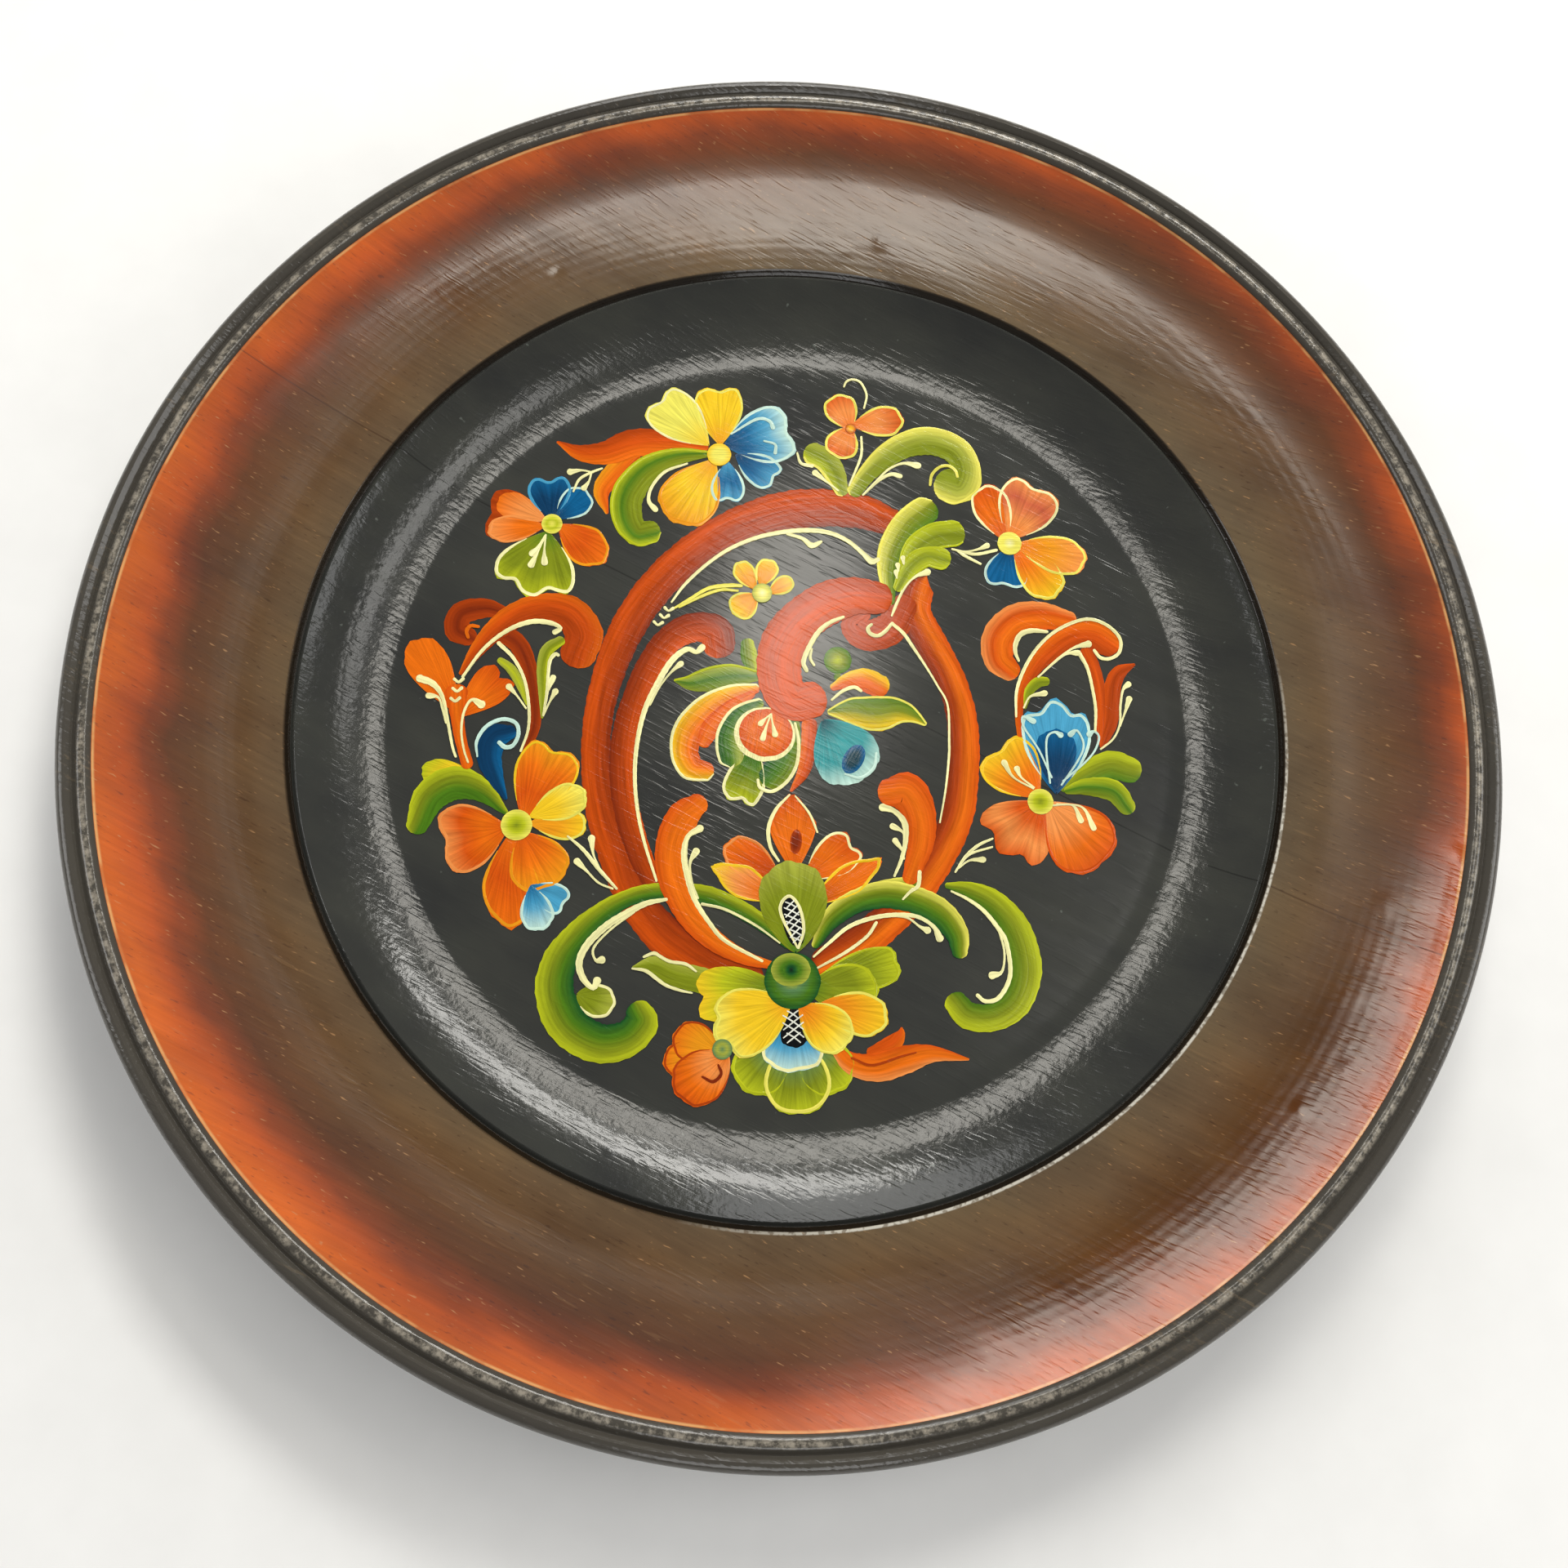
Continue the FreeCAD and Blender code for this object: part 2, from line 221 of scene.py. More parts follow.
class Shader:
    """A small helper that wires a material's nodes."""

    def __init__(self, name):
        self.material = bpy.data.materials.new(name)
        self.material.use_nodes = True
        self.tree = self.material.node_tree
        self.bsdf = self.tree.nodes["Principled BSDF"]

    def node(self, kind, **settings):
        made = self.tree.nodes.new(kind)
        for key, value in settings.items():
            setattr(made, key, value)
        return made

    def put(self, socket, value):
        """A link if value is a socket, and a constant otherwise."""
        if isinstance(value, bpy.types.NodeSocket):
            self.tree.links.new(value, socket)
        else:
            socket.default_value = value

    def math(self, operation, a, b=0.0):
        made = self.node("ShaderNodeMath", operation=operation)
        self.put(made.inputs[0], a)
        self.put(made.inputs[1], b)
        return made.outputs[0]

    def times(self, a, b):
        return self.math("MULTIPLY", a, b)

    def plus(self, a, b):
        return self.math("ADD", a, b)

    def off(self, value, middle):
        """How far value lies from middle."""
        return self.math("ABSOLUTE", self.math("SUBTRACT", value, middle))

    def mix(self, factor, a, b, blend="MIX"):
        made = self.node("ShaderNodeMix", data_type="RGBA", blend_type=blend)
        self.put(made.inputs[0], factor)
        self.put(made.inputs[6], a if isinstance(a, bpy.types.NodeSocket) else (*a, 1))
        self.put(made.inputs[7], b if isinstance(b, bpy.types.NodeSocket) else (*b, 1))
        return made.outputs[2]

    def ramp(self, value, *stops):
        """A colour ramp from (position, colour or grey) stops."""
        made = self.node("ShaderNodeValToRGB")
        self.put(made.inputs[0], value)
        stops = [(p, (c, c, c) if isinstance(c, (int, float)) else c) for p, c in stops]
        marks = made.color_ramp.elements
        marks[0].position, marks[0].color = stops[0][0], (*stops[0][1], 1)
        marks[1].position, marks[1].color = stops[-1][0], (*stops[-1][1], 1)
        for position, colour in stops[1:-1]:
            marks.new(position).color = (*colour, 1)
        return made.outputs[0]

    def place(self, scale, angle=0.0, shift=(0, 0, 0)):
        """Object coordinates in millimetres, turned about Z, then scaled."""
        source = self.node("ShaderNodeTexCoord").outputs["Object"]
        turned = self.node("ShaderNodeMapping", vector_type="POINT")
        self.put(turned.inputs[0], source)
        turned.inputs[2].default_value = (0, 0, angle)
        scaled = self.node("ShaderNodeVectorMath", operation="MULTIPLY_ADD")
        self.put(scaled.inputs[0], turned.outputs[0])
        scaled.inputs[1].default_value = tuple(s / MM for s in scale)
        scaled.inputs[2].default_value = shift
        return scaled.outputs[0]

    def noise(self, vector, detail=3.0, rough=0.55, distort=0.0):
        made = self.node("ShaderNodeTexNoise")
        self.put(made.inputs["Vector"], vector)
        made.inputs["Scale"].default_value = 1.0
        made.inputs["Detail"].default_value = detail
        made.inputs["Roughness"].default_value = rough
        made.inputs["Distortion"].default_value = distort
        return made.outputs["Fac"]

    def range(self, value, low, high, out_low=0.0, out_high=1.0):
        made = self.node("ShaderNodeMapRange")
        for socket, number in zip(made.inputs, (value, low, high, out_low, out_high)):
            self.put(socket, number)
        return made.outputs[0]

    def axes(self, angle=0.0):
        """X and Y in millimetres, turned about Z."""
        parts = self.node("ShaderNodeSeparateXYZ")
        self.put(parts.inputs[0], self.place((1, 1, 1), angle))
        return parts.outputs[0], parts.outputs[1]

    def towards(self, x_share, y_share):
        """A value that grows by these shares for each millimetre along X and Y."""
        x, y = self.axes()
        return self.plus(self.times(x, x_share), self.times(y, y_share))

    def radius(self):
        """Distance from the turning axis in millimetres."""
        x, y = self.axes()
        return self.math("SQRT", self.plus(self.math("POWER", x, 2.0), self.math("POWER", y, 2.0)))

    def wood_relief(self):
        """Raised grain that shows through every coat: long streaks along the boards."""
        fine = self.noise(self.place((0.06, 0.85, 0.3), -GRAIN), 1.6, 0.45)
        ridges = self.noise(self.place((0.13, 1.25, 0.5), -GRAIN, (7, 3, 0)), 1.0, 0.4)
        broad = self.noise(self.place((0.010, 0.16, 0.1), -GRAIN, (1, 9, 0)), 1.0, 0.4)
        crests = self.times(self.range(ridges, 0.54, 0.72), 0.30)
        return self.plus(self.times(fine, 0.40), self.plus(crests, self.times(broad, 0.35)))

    def joint(self):
        """One along the glue line between the boards, nothing elsewhere."""
        across_grain = self.axes(-GRAIN)[1]
        return self.range(self.off(across_grain, JOINT), 0.05, 0.30, 1.0, 0.0)

    def finish(self, colour, roughness, height, depth, strength, shine=0.24):
        self.put(self.bsdf.inputs["Base Color"], colour)
        self.put(self.bsdf.inputs["Roughness"], roughness)
        self.bsdf.inputs["Specular IOR Level"].default_value = shine
        bump = self.node("ShaderNodeBump")
        bump.inputs["Strength"].default_value = strength
        bump.inputs["Distance"].default_value = depth * MM
        self.put(bump.inputs["Height"], height)
        self.put(self.bsdf.inputs["Normal"], bump.outputs[0])
        return self.material


VARNISH_SHINE = 0.32
BEAD_CREST = 171.2           # radius of the bead's highest line


def ground_material(name, worn=False):
    """Charcoal ground under satin varnish, the wood grain standing up through it."""
    s = Shader(name)
    r = s.radius()
    pebbles = s.noise(s.place((0.55, 0.55, 0.55)), 2.0, 0.5)
    relief = s.plus(s.wood_relief(), s.times(pebbles, s.range(r, 99, 106, 0.0, 0.9)))
    mottle = s.noise(s.place((0.03, 0.06, 0.05), -GRAIN), 3.0)
    colour = s.mix(s.range(mottle, 0.3, 0.7), srgb(54, 55, 54), srgb(64, 65, 61))
    colour = s.mix(s.times(s.joint(), 0.6), colour, srgb(34, 34, 33))
    specks = s.noise(s.place((0.55, 0.55, 0.55), 0, (5, 1, 2)), 1.0)
    colour = s.mix(s.range(specks, 0.76, 0.82, 0.0, 0.5), colour, srgb(110, 116, 110))
    if worn:
        # the edge coat is lifted halfway to grey all over: partly worn paint, partly painted highlight on
        # the lip and bead
        colour = s.mix(0.5, colour, srgb(92, 86, 78))
        # pale broken line on the bead crest: partly rubbed paint, partly painted highlight
        crest = s.range(s.off(r, BEAD_CREST), 0.3, 1.3, 1.0, 0.0)
        rubbed_and_highlit = s.range(s.noise(s.place((0.5, 0.5, 0.5), 0, (6, 6, 6)), 4.0, 0.7), 0.42, 0.62)
        colour = s.mix(s.times(crest, s.times(rubbed_and_highlit, 0.8)), colour, srgb(166, 158, 144))
        streak = s.noise(s.place((0.05, 0.9, 0.6), -GRAIN, (2, 8, 4)), 3.0, 0.65)
        patch = s.noise(s.place((0.025, 0.03, 0.05), 0, (4, 2, 0)), 2.0)
        rub = s.times(s.range(streak, 0.56, 0.66), s.range(patch, 0.50, 0.68))
        colour = s.mix(s.times(rub, 0.35), colour, srgb(150, 130, 104))
    rough = s.range(s.noise(s.place((0.02, 0.3, 0.1), -GRAIN), 3.0), 0.3, 0.7, 0.13, 0.18)
    return s.finish(colour, rough, relief, 0.085, 0.9, VARNISH_SHINE)


def rim_colour(s, r, relief):
    """Grey brown by the groove with painted shade in the groove itself, red brown, then orange at the edge,
    with streaks and worn places.
    """
    side = s.towards(-0.024, -0.010)
    wander = s.range(s.noise(s.place((0.02, 0.05, 0.05), -GRAIN), 3.0), 0.3, 0.7, -2.5, 2.5)
    seen = s.plus(r, s.plus(side, wander))
    colour = s.ramp(s.range(seen, 126, 172),
                    (0.0, srgb(98, 84, 66)), (0.22, srgb(100, 80, 60)), (0.45, srgb(90, 62, 38)),
                    (0.64, srgb(90, 52, 20)), (0.77, srgb(122, 57, 6)), (0.87, srgb(170, 75, 0)),
                    (1.0, srgb(190, 90, 2)))
    blotch = s.ramp(s.noise(s.place((0.03, 0.05, 0.05), -GRAIN, (8, 1, 0)), 3.0),
                    (0.3, (0.70, 0.66, 0.66)), (0.5, 1.0), (0.7, (1.25, 1.22, 1.10)))
    colour = s.mix(0.8, colour, blotch, "MULTIPLY")
    tone = s.noise(s.place((0.018, 0.9, 0.1), -GRAIN, (3, 3, 0)), 4.0, 0.6)
    colour = s.mix(0.32, colour, s.ramp(tone, (0.25, 0.60), (0.5, 1.0), (0.75, 1.4)), "MULTIPLY")
    pale_grain = s.times(s.range(relief, 0.62, 0.76), 0.10)
    colour = s.mix(pale_grain, colour, srgb(170, 134, 92))
    nicks = s.noise(s.place((0.35, 1.7, 0.6), -GRAIN, (9, 4, 1)), 1.0)
    colour = s.mix(s.range(nicks, 0.70, 0.80, 0.0, 0.5), colour, srgb(186, 142, 98))
    colour = s.mix(s.range(nicks, 0.33, 0.25, 0.0, 0.35), colour, srgb(44, 28, 18))
    colour = s.mix(s.times(s.joint(), 0.5), colour, srgb(52, 34, 20))
    # painted shade: the glaze turns near black in the groove, where shade falls
    painted_groove_shade = s.range(r, 126.9, 127.5, 0.9, 0.0)
    colour = s.mix(painted_groove_shade, colour, srgb(26, 23, 21))
    orange_line = s.math("SUBTRACT", 1.0, s.times(s.off(r, 168.9), 2.2))
    broken = s.noise(s.place((0.10, 0.10, 0.1), 0, (2, 2, 0)), 3.0)
    worn = s.times(s.math("MAXIMUM", orange_line, 0.0), s.range(broken, 0.40, 0.55, 0.2, 0.8))
    return s.mix(worn, colour, srgb(226, 176, 112))


def rim_material():
    """Glaze: glossy near the groove, at the lower right and halfway out at the top, matt elsewhere."""
    s = Shader("rim_glaze")
    relief = s.wood_relief()
    r = s.radius()
    lower_right = s.towards(0.67, -0.74)
    # painted highlight: a pale line on the groove shoulder towards the lower right, broken into beads along
    # the chatter marks, stands in for light caught by the shoulder's edge
    shoulder = s.times(s.range(r, 127.0, 127.2), s.range(r, 127.9, 127.6))
    chatter_glints = s.range(s.noise(s.place((0.8, 0.8, 0.8), 0, (1, 5, 0)), 1.0), 0.40, 0.52, 0.35, 1.0)
    painted_highlight_line = s.times(s.times(shoulder, chatter_glints), s.range(lower_right, 72, 102))
    colour = s.mix(painted_highlight_line, rim_colour(s, r, relief), srgb(196, 192, 180))
    rough = s.range(s.noise(s.place((0.02, 0.4, 0.1), -GRAIN), 3.0), 0.3, 0.7, 0.12, 0.17)
    below_top = s.range(s.towards(0.26, 0.97), 30, 90, 1.0, 0.0)
    matt = s.math("MAXIMUM", s.times(below_top, s.range(r, 136, 146)), s.range(r, 151, 160))
    rough = s.plus(rough, s.times(matt, s.range(lower_right, 112, 142, 0.50, 0.0)))
    return s.finish(colour, rough, relief, 0.060, 0.8, VARNISH_SHINE)


def wood_material():
    """Bare turned hardwood: the foot ring and the recess."""
    s = Shader("bare_wood")
    rings = s.noise(s.place((0.006, 0.16, 0.16), -GRAIN), 4.0, 0.6, 0.6)
    fine = s.noise(s.place((0.04, 2.0, 2.0), -GRAIN, (3, 1, 0)), 3.0, 0.6)
    colour = s.ramp(rings, (0.25, srgb(150, 108, 66)), (0.45, srgb(186, 144, 96)), (0.6, srgb(170, 124, 78)),
                    (0.78, srgb(206, 168, 118)))
    colour = s.mix(0.35, colour, s.ramp(fine, (0.3, 0.6), (0.7, 1.25)), "MULTIPLY")
    lathe = s.math("SINE", s.times(s.radius(), 5.0))
    height = s.plus(fine, s.times(lathe, 0.18))
    return s.finish(colour, s.range(fine, 0.2, 0.8, 0.48, 0.64), height, 0.12, 0.6)


def paint_material(name):
    """Oil paint in the colour of each stroke, with brush streaks along the stroke."""
    s = Shader(name)
    colour = s.node("ShaderNodeAttribute", attribute_name="paint").outputs["Color"]
    flow = s.node("ShaderNodeAttribute", attribute_name="flow").outputs["Vector"]
    stretched = s.node("ShaderNodeVectorMath", operation="MULTIPLY")
    s.put(stretched.inputs[0], flow)
    stretched.inputs[1].default_value = (0.07, 1.25, 1.0)
    bristles = s.noise(stretched.outputs[0], 3.0, 0.6)
    colour = s.mix(0.60, colour, s.ramp(bristles, (0.30, 0.62), (0.50, 1.0), (0.72, 1.38)), "MULTIPLY")
    height = s.plus(s.wood_relief(), s.times(bristles, 0.45))
    return s.finish(colour, s.range(bristles, 0.3, 0.7, 0.13, 0.20), height, 0.080, 0.9, 0.22)


# ---------------------------------------------------------------- plate

black = ground_material("black_ground")
worn_black = ground_material("black_edge", worn=True)
glaze = rim_material()
wood = wood_material()
paint = paint_material("oil_paint")

for name, line, material, slot, node in (
        ("well", floor_line, black, "black_ground", "well_coat"),
        ("rim", rim_line, glaze, "rim_glaze", "rim_coat"),
        ("edge", edge_line, worn_black, "black_ground", "edge_coat"),
        ("underside", under_line, black, "black_ground", "underside_coat")):
    verts, faces = revolve(line, lowered(line))
    new_piece(name, verts, faces, material, [node])


def board(name, node, side):
    """One of the two boards: the turned blank under its coats, cut along the glue line."""
    top = lowered(joined(floor_line, rim_line, edge_line))
    bottom = lowered(under_line)
    verts, faces = revolve(joined(top, bottom, foot_line), [])
    bm = bmesh.new()
    made = [bm.verts.new(v) for v in verts]
    for face in faces:
        bm.faces.new([made[k] for k in face])
    across_grain = Vector((-math.sin(GRAIN), math.cos(GRAIN), 0))
    cut = bmesh.ops.bisect_plane(bm, geom=bm.verts[:] + bm.edges[:] + bm.faces[:],
                                 plane_co=across_grain * JOINT, plane_no=across_grain * side,
                                 clear_outer=True)
    cut_edges = [g for g in cut["geom_cut"] if isinstance(g, bmesh.types.BMEdge)]
    bmesh.ops.edgeloop_fill(bm, edges=cut_edges)
    bm.verts.index_update()
    points = np.array([v.co for v in bm.verts])
    polygons = [[v.index for v in f.verts] for f in bm.faces]
    bm.free()
    new_piece(name, points, polygons, wood, [node])


board("upper_half", "upper_board", -1)
board("lower_half", "lower_board", 1)

# ---------------------------------------------------------------- painted ornament

LAYER = 0.035                # each layer of strokes lies this much higher than the one under it
SUNK = 0.06                  # how far the underside of each stroke reaches into the floor
EDGE_LAYER = 0.6             # a liner along an edge lies this many layers above its stroke
ACROSS = np.array([-1, -0.9, -0.62, -0.3, 0, 0.3, 0.62, 0.9, 1])
ACROSS_LINER = np.array([-1, -0.6, 0, 0.6, 1])
UP_PETAL = np.array([0.02, 0.2, 0.38, 0.55, 0.70, 0.82, 0.92, 1.0])


def spread(t, values):
    """Evenly spaced values read off at t, from 0 to 1."""
    return np.interp(t, np.linspace(0, 1, len(values)), values)


def mixed(names, t):
    """Colours along 0-1 from evenly spaced palette names."""
    stops = np.array([PALETTE[name] for name in names.split()])
    return np.stack([spread(t, channel) for channel in stops.T], -1)


def smooth_path(points, step):
    """A smooth curve through the points, each (x, y, width), with samples about a step apart."""
    p = np.array(points, float)
    if len(p) == 2:
        p = np.insert(p, 1, p.mean(0), axis=0)
    ghost = np.vstack([2 * p[0] - p[1], p, 2 * p[-1] - p[-2]])
    out = []
    for a, b, c, d in zip(ghost[:-3], ghost[1:-2], ghost[2:-1], ghost[3:]):
        count = max(3, int(np.hypot(*(c - b)[:2]) / step))
        t = np.arange(count)[:, None] / count
        out.append(0.5 * (2 * b + (c - a) * t + (2 * a - 5 * b + 4 * c - d) * t ** 2
                          + (3 * b - a - 3 * c + d) * t ** 3))
    return np.vstack(out + [p[-1:]])


def travelled(xy):
    """Distance along a path at each of its points."""
    return np.concatenate([[0], np.cumsum(np.hypot(*np.diff(xy, axis=0).T))])


def left_of(way):
    return np.stack([-way[:, 1], way[:, 0]], 1)


def ribbon(xy, way, half, across, height):
    """Grid points of a stroke: across runs from -1 at its left edge to 1 at its right edge."""
    top = np.empty((len(xy), len(across), 3))
    top[..., :2] = xy[:, None] - left_of(way)[:, None] * (across[None, :, None] * half[:, None, None])
    top[..., 2] = height
    return top


def brush_flow(shape, run, off_middle, seed):
    """Where each grid point lies in its stroke: along, across, and a number that is the stroke's own."""
    flow = np.empty(shape)
    flow[..., 0], flow[..., 1], flow[..., 2] = run, off_middle, seed
    return flow


class Film:
    """Closed sheets of paint that become one mesh."""

    def __init__(self):
        self.verts, self.faces, self.colours, self.flows = [], [], [], []
        self.count = 0

    def add(self, top, colours, flow):
        """A closed sheet: a grid of rows over a flat bottom. Sides of the grid are the sheet's edge."""
        rows, columns = top.shape[:2]
        low = top[:, [0, -1]].copy()
        low[..., 2] = FLOOR - SUNK
        wide = columns + 2
        at = np.arange(rows * wide).reshape(rows, wide) + self.count
        ring = [*range(columns), columns + 1, columns]
        for k in range(wide):
            a, b = ring[k], ring[(k + 1) % wide]
            quads = np.stack([at[:-1, a], at[1:, a], at[1:, b], at[:-1, b]], 1)
            self.faces += quads[:, ::-1].tolist()
        self.faces += [at[0, ring].tolist(), at[-1, ring][::-1].tolist()]
        with_sides = [*range(columns), 0, -1]
        self.verts.append(np.concatenate([top, low], 1).reshape(-1, 3))
        self.colours.append(colours[:, with_sides].reshape(-1, 3))
        self.flows.append(flow[:, with_sides].reshape(-1, 3))
        self.count += rows * wide

    def build(self, name, slot, replaced):
        new_piece(name, np.concatenate(self.verts), self.faces, paint, replaced,
                  np.concatenate(self.colours), np.concatenate(self.flows))


class Motif:
    """The strokes of one painted motif. Later layers lie over earlier ones."""

    painted = []

    def __init__(self, name, slot):
        self.name, self.slot = name, slot
        self.strokes, self.liners = Film(), Film()
        self.painted.append(self)

    def scroll(self, colours, points, layer, edge=None, fade=None):
        """A broad brush stroke with round ends. Colours run from its left side to its right side."""
        path = smooth_path(points, 0.9)
        xy, width = path[:, :2], np.maximum(path[:, 2], 0.25)
        way, run = tangents(xy), travelled(xy)
        turn = np.linspace(0, 0.97, 7)[1:]
        for k, sign in ((0, -1), (-1, 1)):
            reach = sign * width[k] / 2 * turn
            caps = (xy[k] + way[k] * reach[:, None] * 0.85, width[k] * np.sqrt(1 - turn ** 2),
                    np.repeat(way[[k]], len(turn), 0), run[k] + reach)
            xy, width, way, run = (np.concatenate([old, cap] if sign > 0 else [cap[::-1], old])
                                   for old, cap in zip((xy, width, way, run), caps))
        seed = rng.uniform(0, 50)
        ragged = 1 + 0.025 * np.sin(run * 2.3 + seed) + 0.018 * np.sin(run * 5.9 + 2 * seed)
        half = width * ragged / 2
        crown = np.clip(half / 4, 0.2, 1)[:, None] * 0.03 * (1 - ACROSS ** 2)
        top = ribbon(xy, way, half, ACROSS, FLOOR + LAYER * layer + crown)
        colour = np.repeat(mixed(colours, (ACROSS + 1) / 2)[None], len(xy), 0)
        if fade:
            fading, shares = fade
            t = np.clip((run - run[0]) / (run[-1] - run[0]), 0, 1)
            share = spread(t, shares)[:, None, None]
            colour = colour * (1 - share) + PALETTE[fading] * share
        self.strokes.add(top, colour, brush_flow(top.shape, run[:, None], ACROSS * half[:, None], seed))
        if edge:
            side, name, broad = edge
            keep = np.clip(np.sin(np.pi * np.linspace(0.02, 0.98, len(xy))), 0, 1) ** 0.35
            for sign in {"left": (-1,), "right": (1,), "both": (-1, 1)}[side]:
                line = xy - left_of(way) * (sign * half * 0.95)[:, None]
                self.line(np.column_stack([line, broad * keep])[::3], name, layer + EDGE_LAYER)

    def petal(self, colours, base, tip, width, lobes=1, layer=5, edge=None, depth=0.16, point=0.0, slim=0.5):
        """A petal pulled from its base: colours run from the base to the outer edge."""
        base, tip = np.array(base, float), np.array(tip, float)
        axis = tip - base
        length = np.linalg.norm(axis)
        axis /= length
        side = np.array([-axis[1], axis[0]])
        u = np.linspace(-1, 1, 49)
        angle = u * math.pi
        along = length / 2 * (1 + np.cos(angle))
        out = width * 0.6 * np.sin(angle) * (along / length + 0.02) ** slim
        out *= 1 - point * np.clip((along / length - 0.6) / 0.4, 0, 1)
        notch = np.ones_like(u)
        for k in range(1, lobes):
            centre = (k / lobes - 0.5) * 0.85
            notch -= depth * np.clip(1 - np.abs(u - centre) / (0.42 / lobes), 0, 1) ** 1.5
        seed = rng.uniform(0, 50)
        notch += 0.012 * np.sin(u * 23 + seed) + 0.008 * np.sin(u * 51 + seed)
        rim = np.outer(along * notch, axis) + np.outer(out * notch, side)
        top = np.empty((len(u), len(UP_PETAL), 3))
        top[..., :2] = base + rim[:, None] * UP_PETAL[None, :, None]
        top[..., 2] = FLOOR + LAYER * layer + 0.03 * (1 - UP_PETAL ** 2)
        tone = UP_PETAL[None] * (0.30 + 0.70 * (along / length) ** 0.7)[:, None]
        flow = brush_flow(top.shape, UP_PETAL * length, (u * length)[:, None], seed)
        self.strokes.add(top, mixed(colours, tone), flow)
        if edge:
            name, broad = edge
            keep = np.abs(u) < 0.72
            line = base + rim[keep] * 0.965
            taper = np.clip((0.74 - np.abs(u[keep])) / 0.2, 0.25, 1)
            self.line(np.column_stack([line, broad * taper])[::2], name, layer + EDGE_LAYER)

    def line(self, points, name="cream", layer=9):
        """A liner stroke with soft round ends. A wide last point makes a teardrop head."""
        path = smooth_path(points, 0.55)
        xy, broad = path[:, :2], np.maximum(path[:, 2], 0.18)
        way = tangents(xy)
        turn = np.array([0.5, 0.85, 0.98])
        first = xy[0] - way[0] * broad[0] / 2 * turn[::-1, None]
        last = xy[-1] + way[-1] * broad[-1] / 2 * turn[:, None]
        taper = np.sqrt(1 - turn ** 2)
        xy = np.vstack([first, xy, last])
        way = np.vstack([np.repeat(way[:1], 3, 0), way, np.repeat(way[-1:], 3, 0)])
        broad = np.concatenate([broad[0] * taper[::-1], broad, broad[-1] * taper])
        run = travelled(xy)
        seed = rng.uniform(0, 50)
        half = broad * (1 + 0.06 * np.sin(run * 3.1 + seed)) / 2
        crown = np.minimum(half, 0.5)[:, None] * 0.09 * (1 - ACROSS_LINER ** 2)
        top = ribbon(xy, way, half, ACROSS_LINER, FLOOR + LAYER * layer + crown)
        colour = np.broadcast_to(PALETTE[name], top.shape)
        flow = brush_flow(top.shape, run[:, None], ACROSS_LINER * half[:, None], seed)
        self.liners.add(top, colour, flow)

    def head(self, *points, name="cream", size=1.9, layer=9):
        """A liner that starts fine and ends in a teardrop."""
        start = 0.5
        last = len(points) - 1
        widths = [start + (size * 0.45 - start) * (k / last) ** 2 for k in range(last)] + [size]
        self.line([(*p, w) for p, w in zip(points, widths)], name, layer)

    def disc(self, colours, centre, across, long=None, angle=0.0, layer=10):
        """A round or oval dab. Colours run from its middle to its edge."""
        long = long or across
        u = np.linspace(-0.995, 0.995, 17)
        v = np.linspace(1, -1, 13)
        x, y = np.meshgrid(u, v, indexing="ij")
        y = y * np.sqrt(1 - u ** 2)[:, None]
        turn = math.radians(angle)
        away = np.sqrt(x ** 2 + y ** 2)
        top = np.empty((*x.shape, 3))
        top[..., 0] = centre[0] + x * long / 2 * math.cos(turn) - y * across / 2 * math.sin(turn)
        top[..., 1] = centre[1] + x * long / 2 * math.sin(turn) + y * across / 2 * math.cos(turn)
        top[..., 2] = FLOOR + LAYER * layer + 0.04 * (1 - away ** 2)
        flow = brush_flow(top.shape, x * long, y * across, rng.uniform(0, 50))
        self.strokes.add(top, mixed(colours, np.clip(away, 0, 1)), flow)

    def hatch(self, start, end, half_width, gap):
        """Fine crossed white lines inside a drop from start to end."""
        slant = 0.72
        a, b = np.array(start, float), np.array(end, float)
        length = np.linalg.norm(b - a)
        way = (b - a) / length
        side = np.array([-way[1], way[0]])
        for k in range(int(length / gap)):
            t = (k + 0.5) * gap
            w = half_width * math.sin(math.pi * min(max(t / length, 0.12), 0.9)) ** 0.7
            for sign in (-1, 1):
                p = a + way * (t - slant * w) - side * w * sign
                q = a + way * (t + slant * w) + side * w * sign
                self.line([(*p, 0.32), (*((p + q) / 2 + 0.1), 0.36), (*q, 0.3)], "white", 11)

    def build(self):
        self.strokes.build(f"{self.name}_strokes", self.slot, [f"{self.name}_paint"])
        self.liners.build(f"{self.name}_liners", "yellow_paint", [])


# Each m is one motif. Its strokes' points are (x, y, width), or (x, y) for a head.
# Colours are palette names.

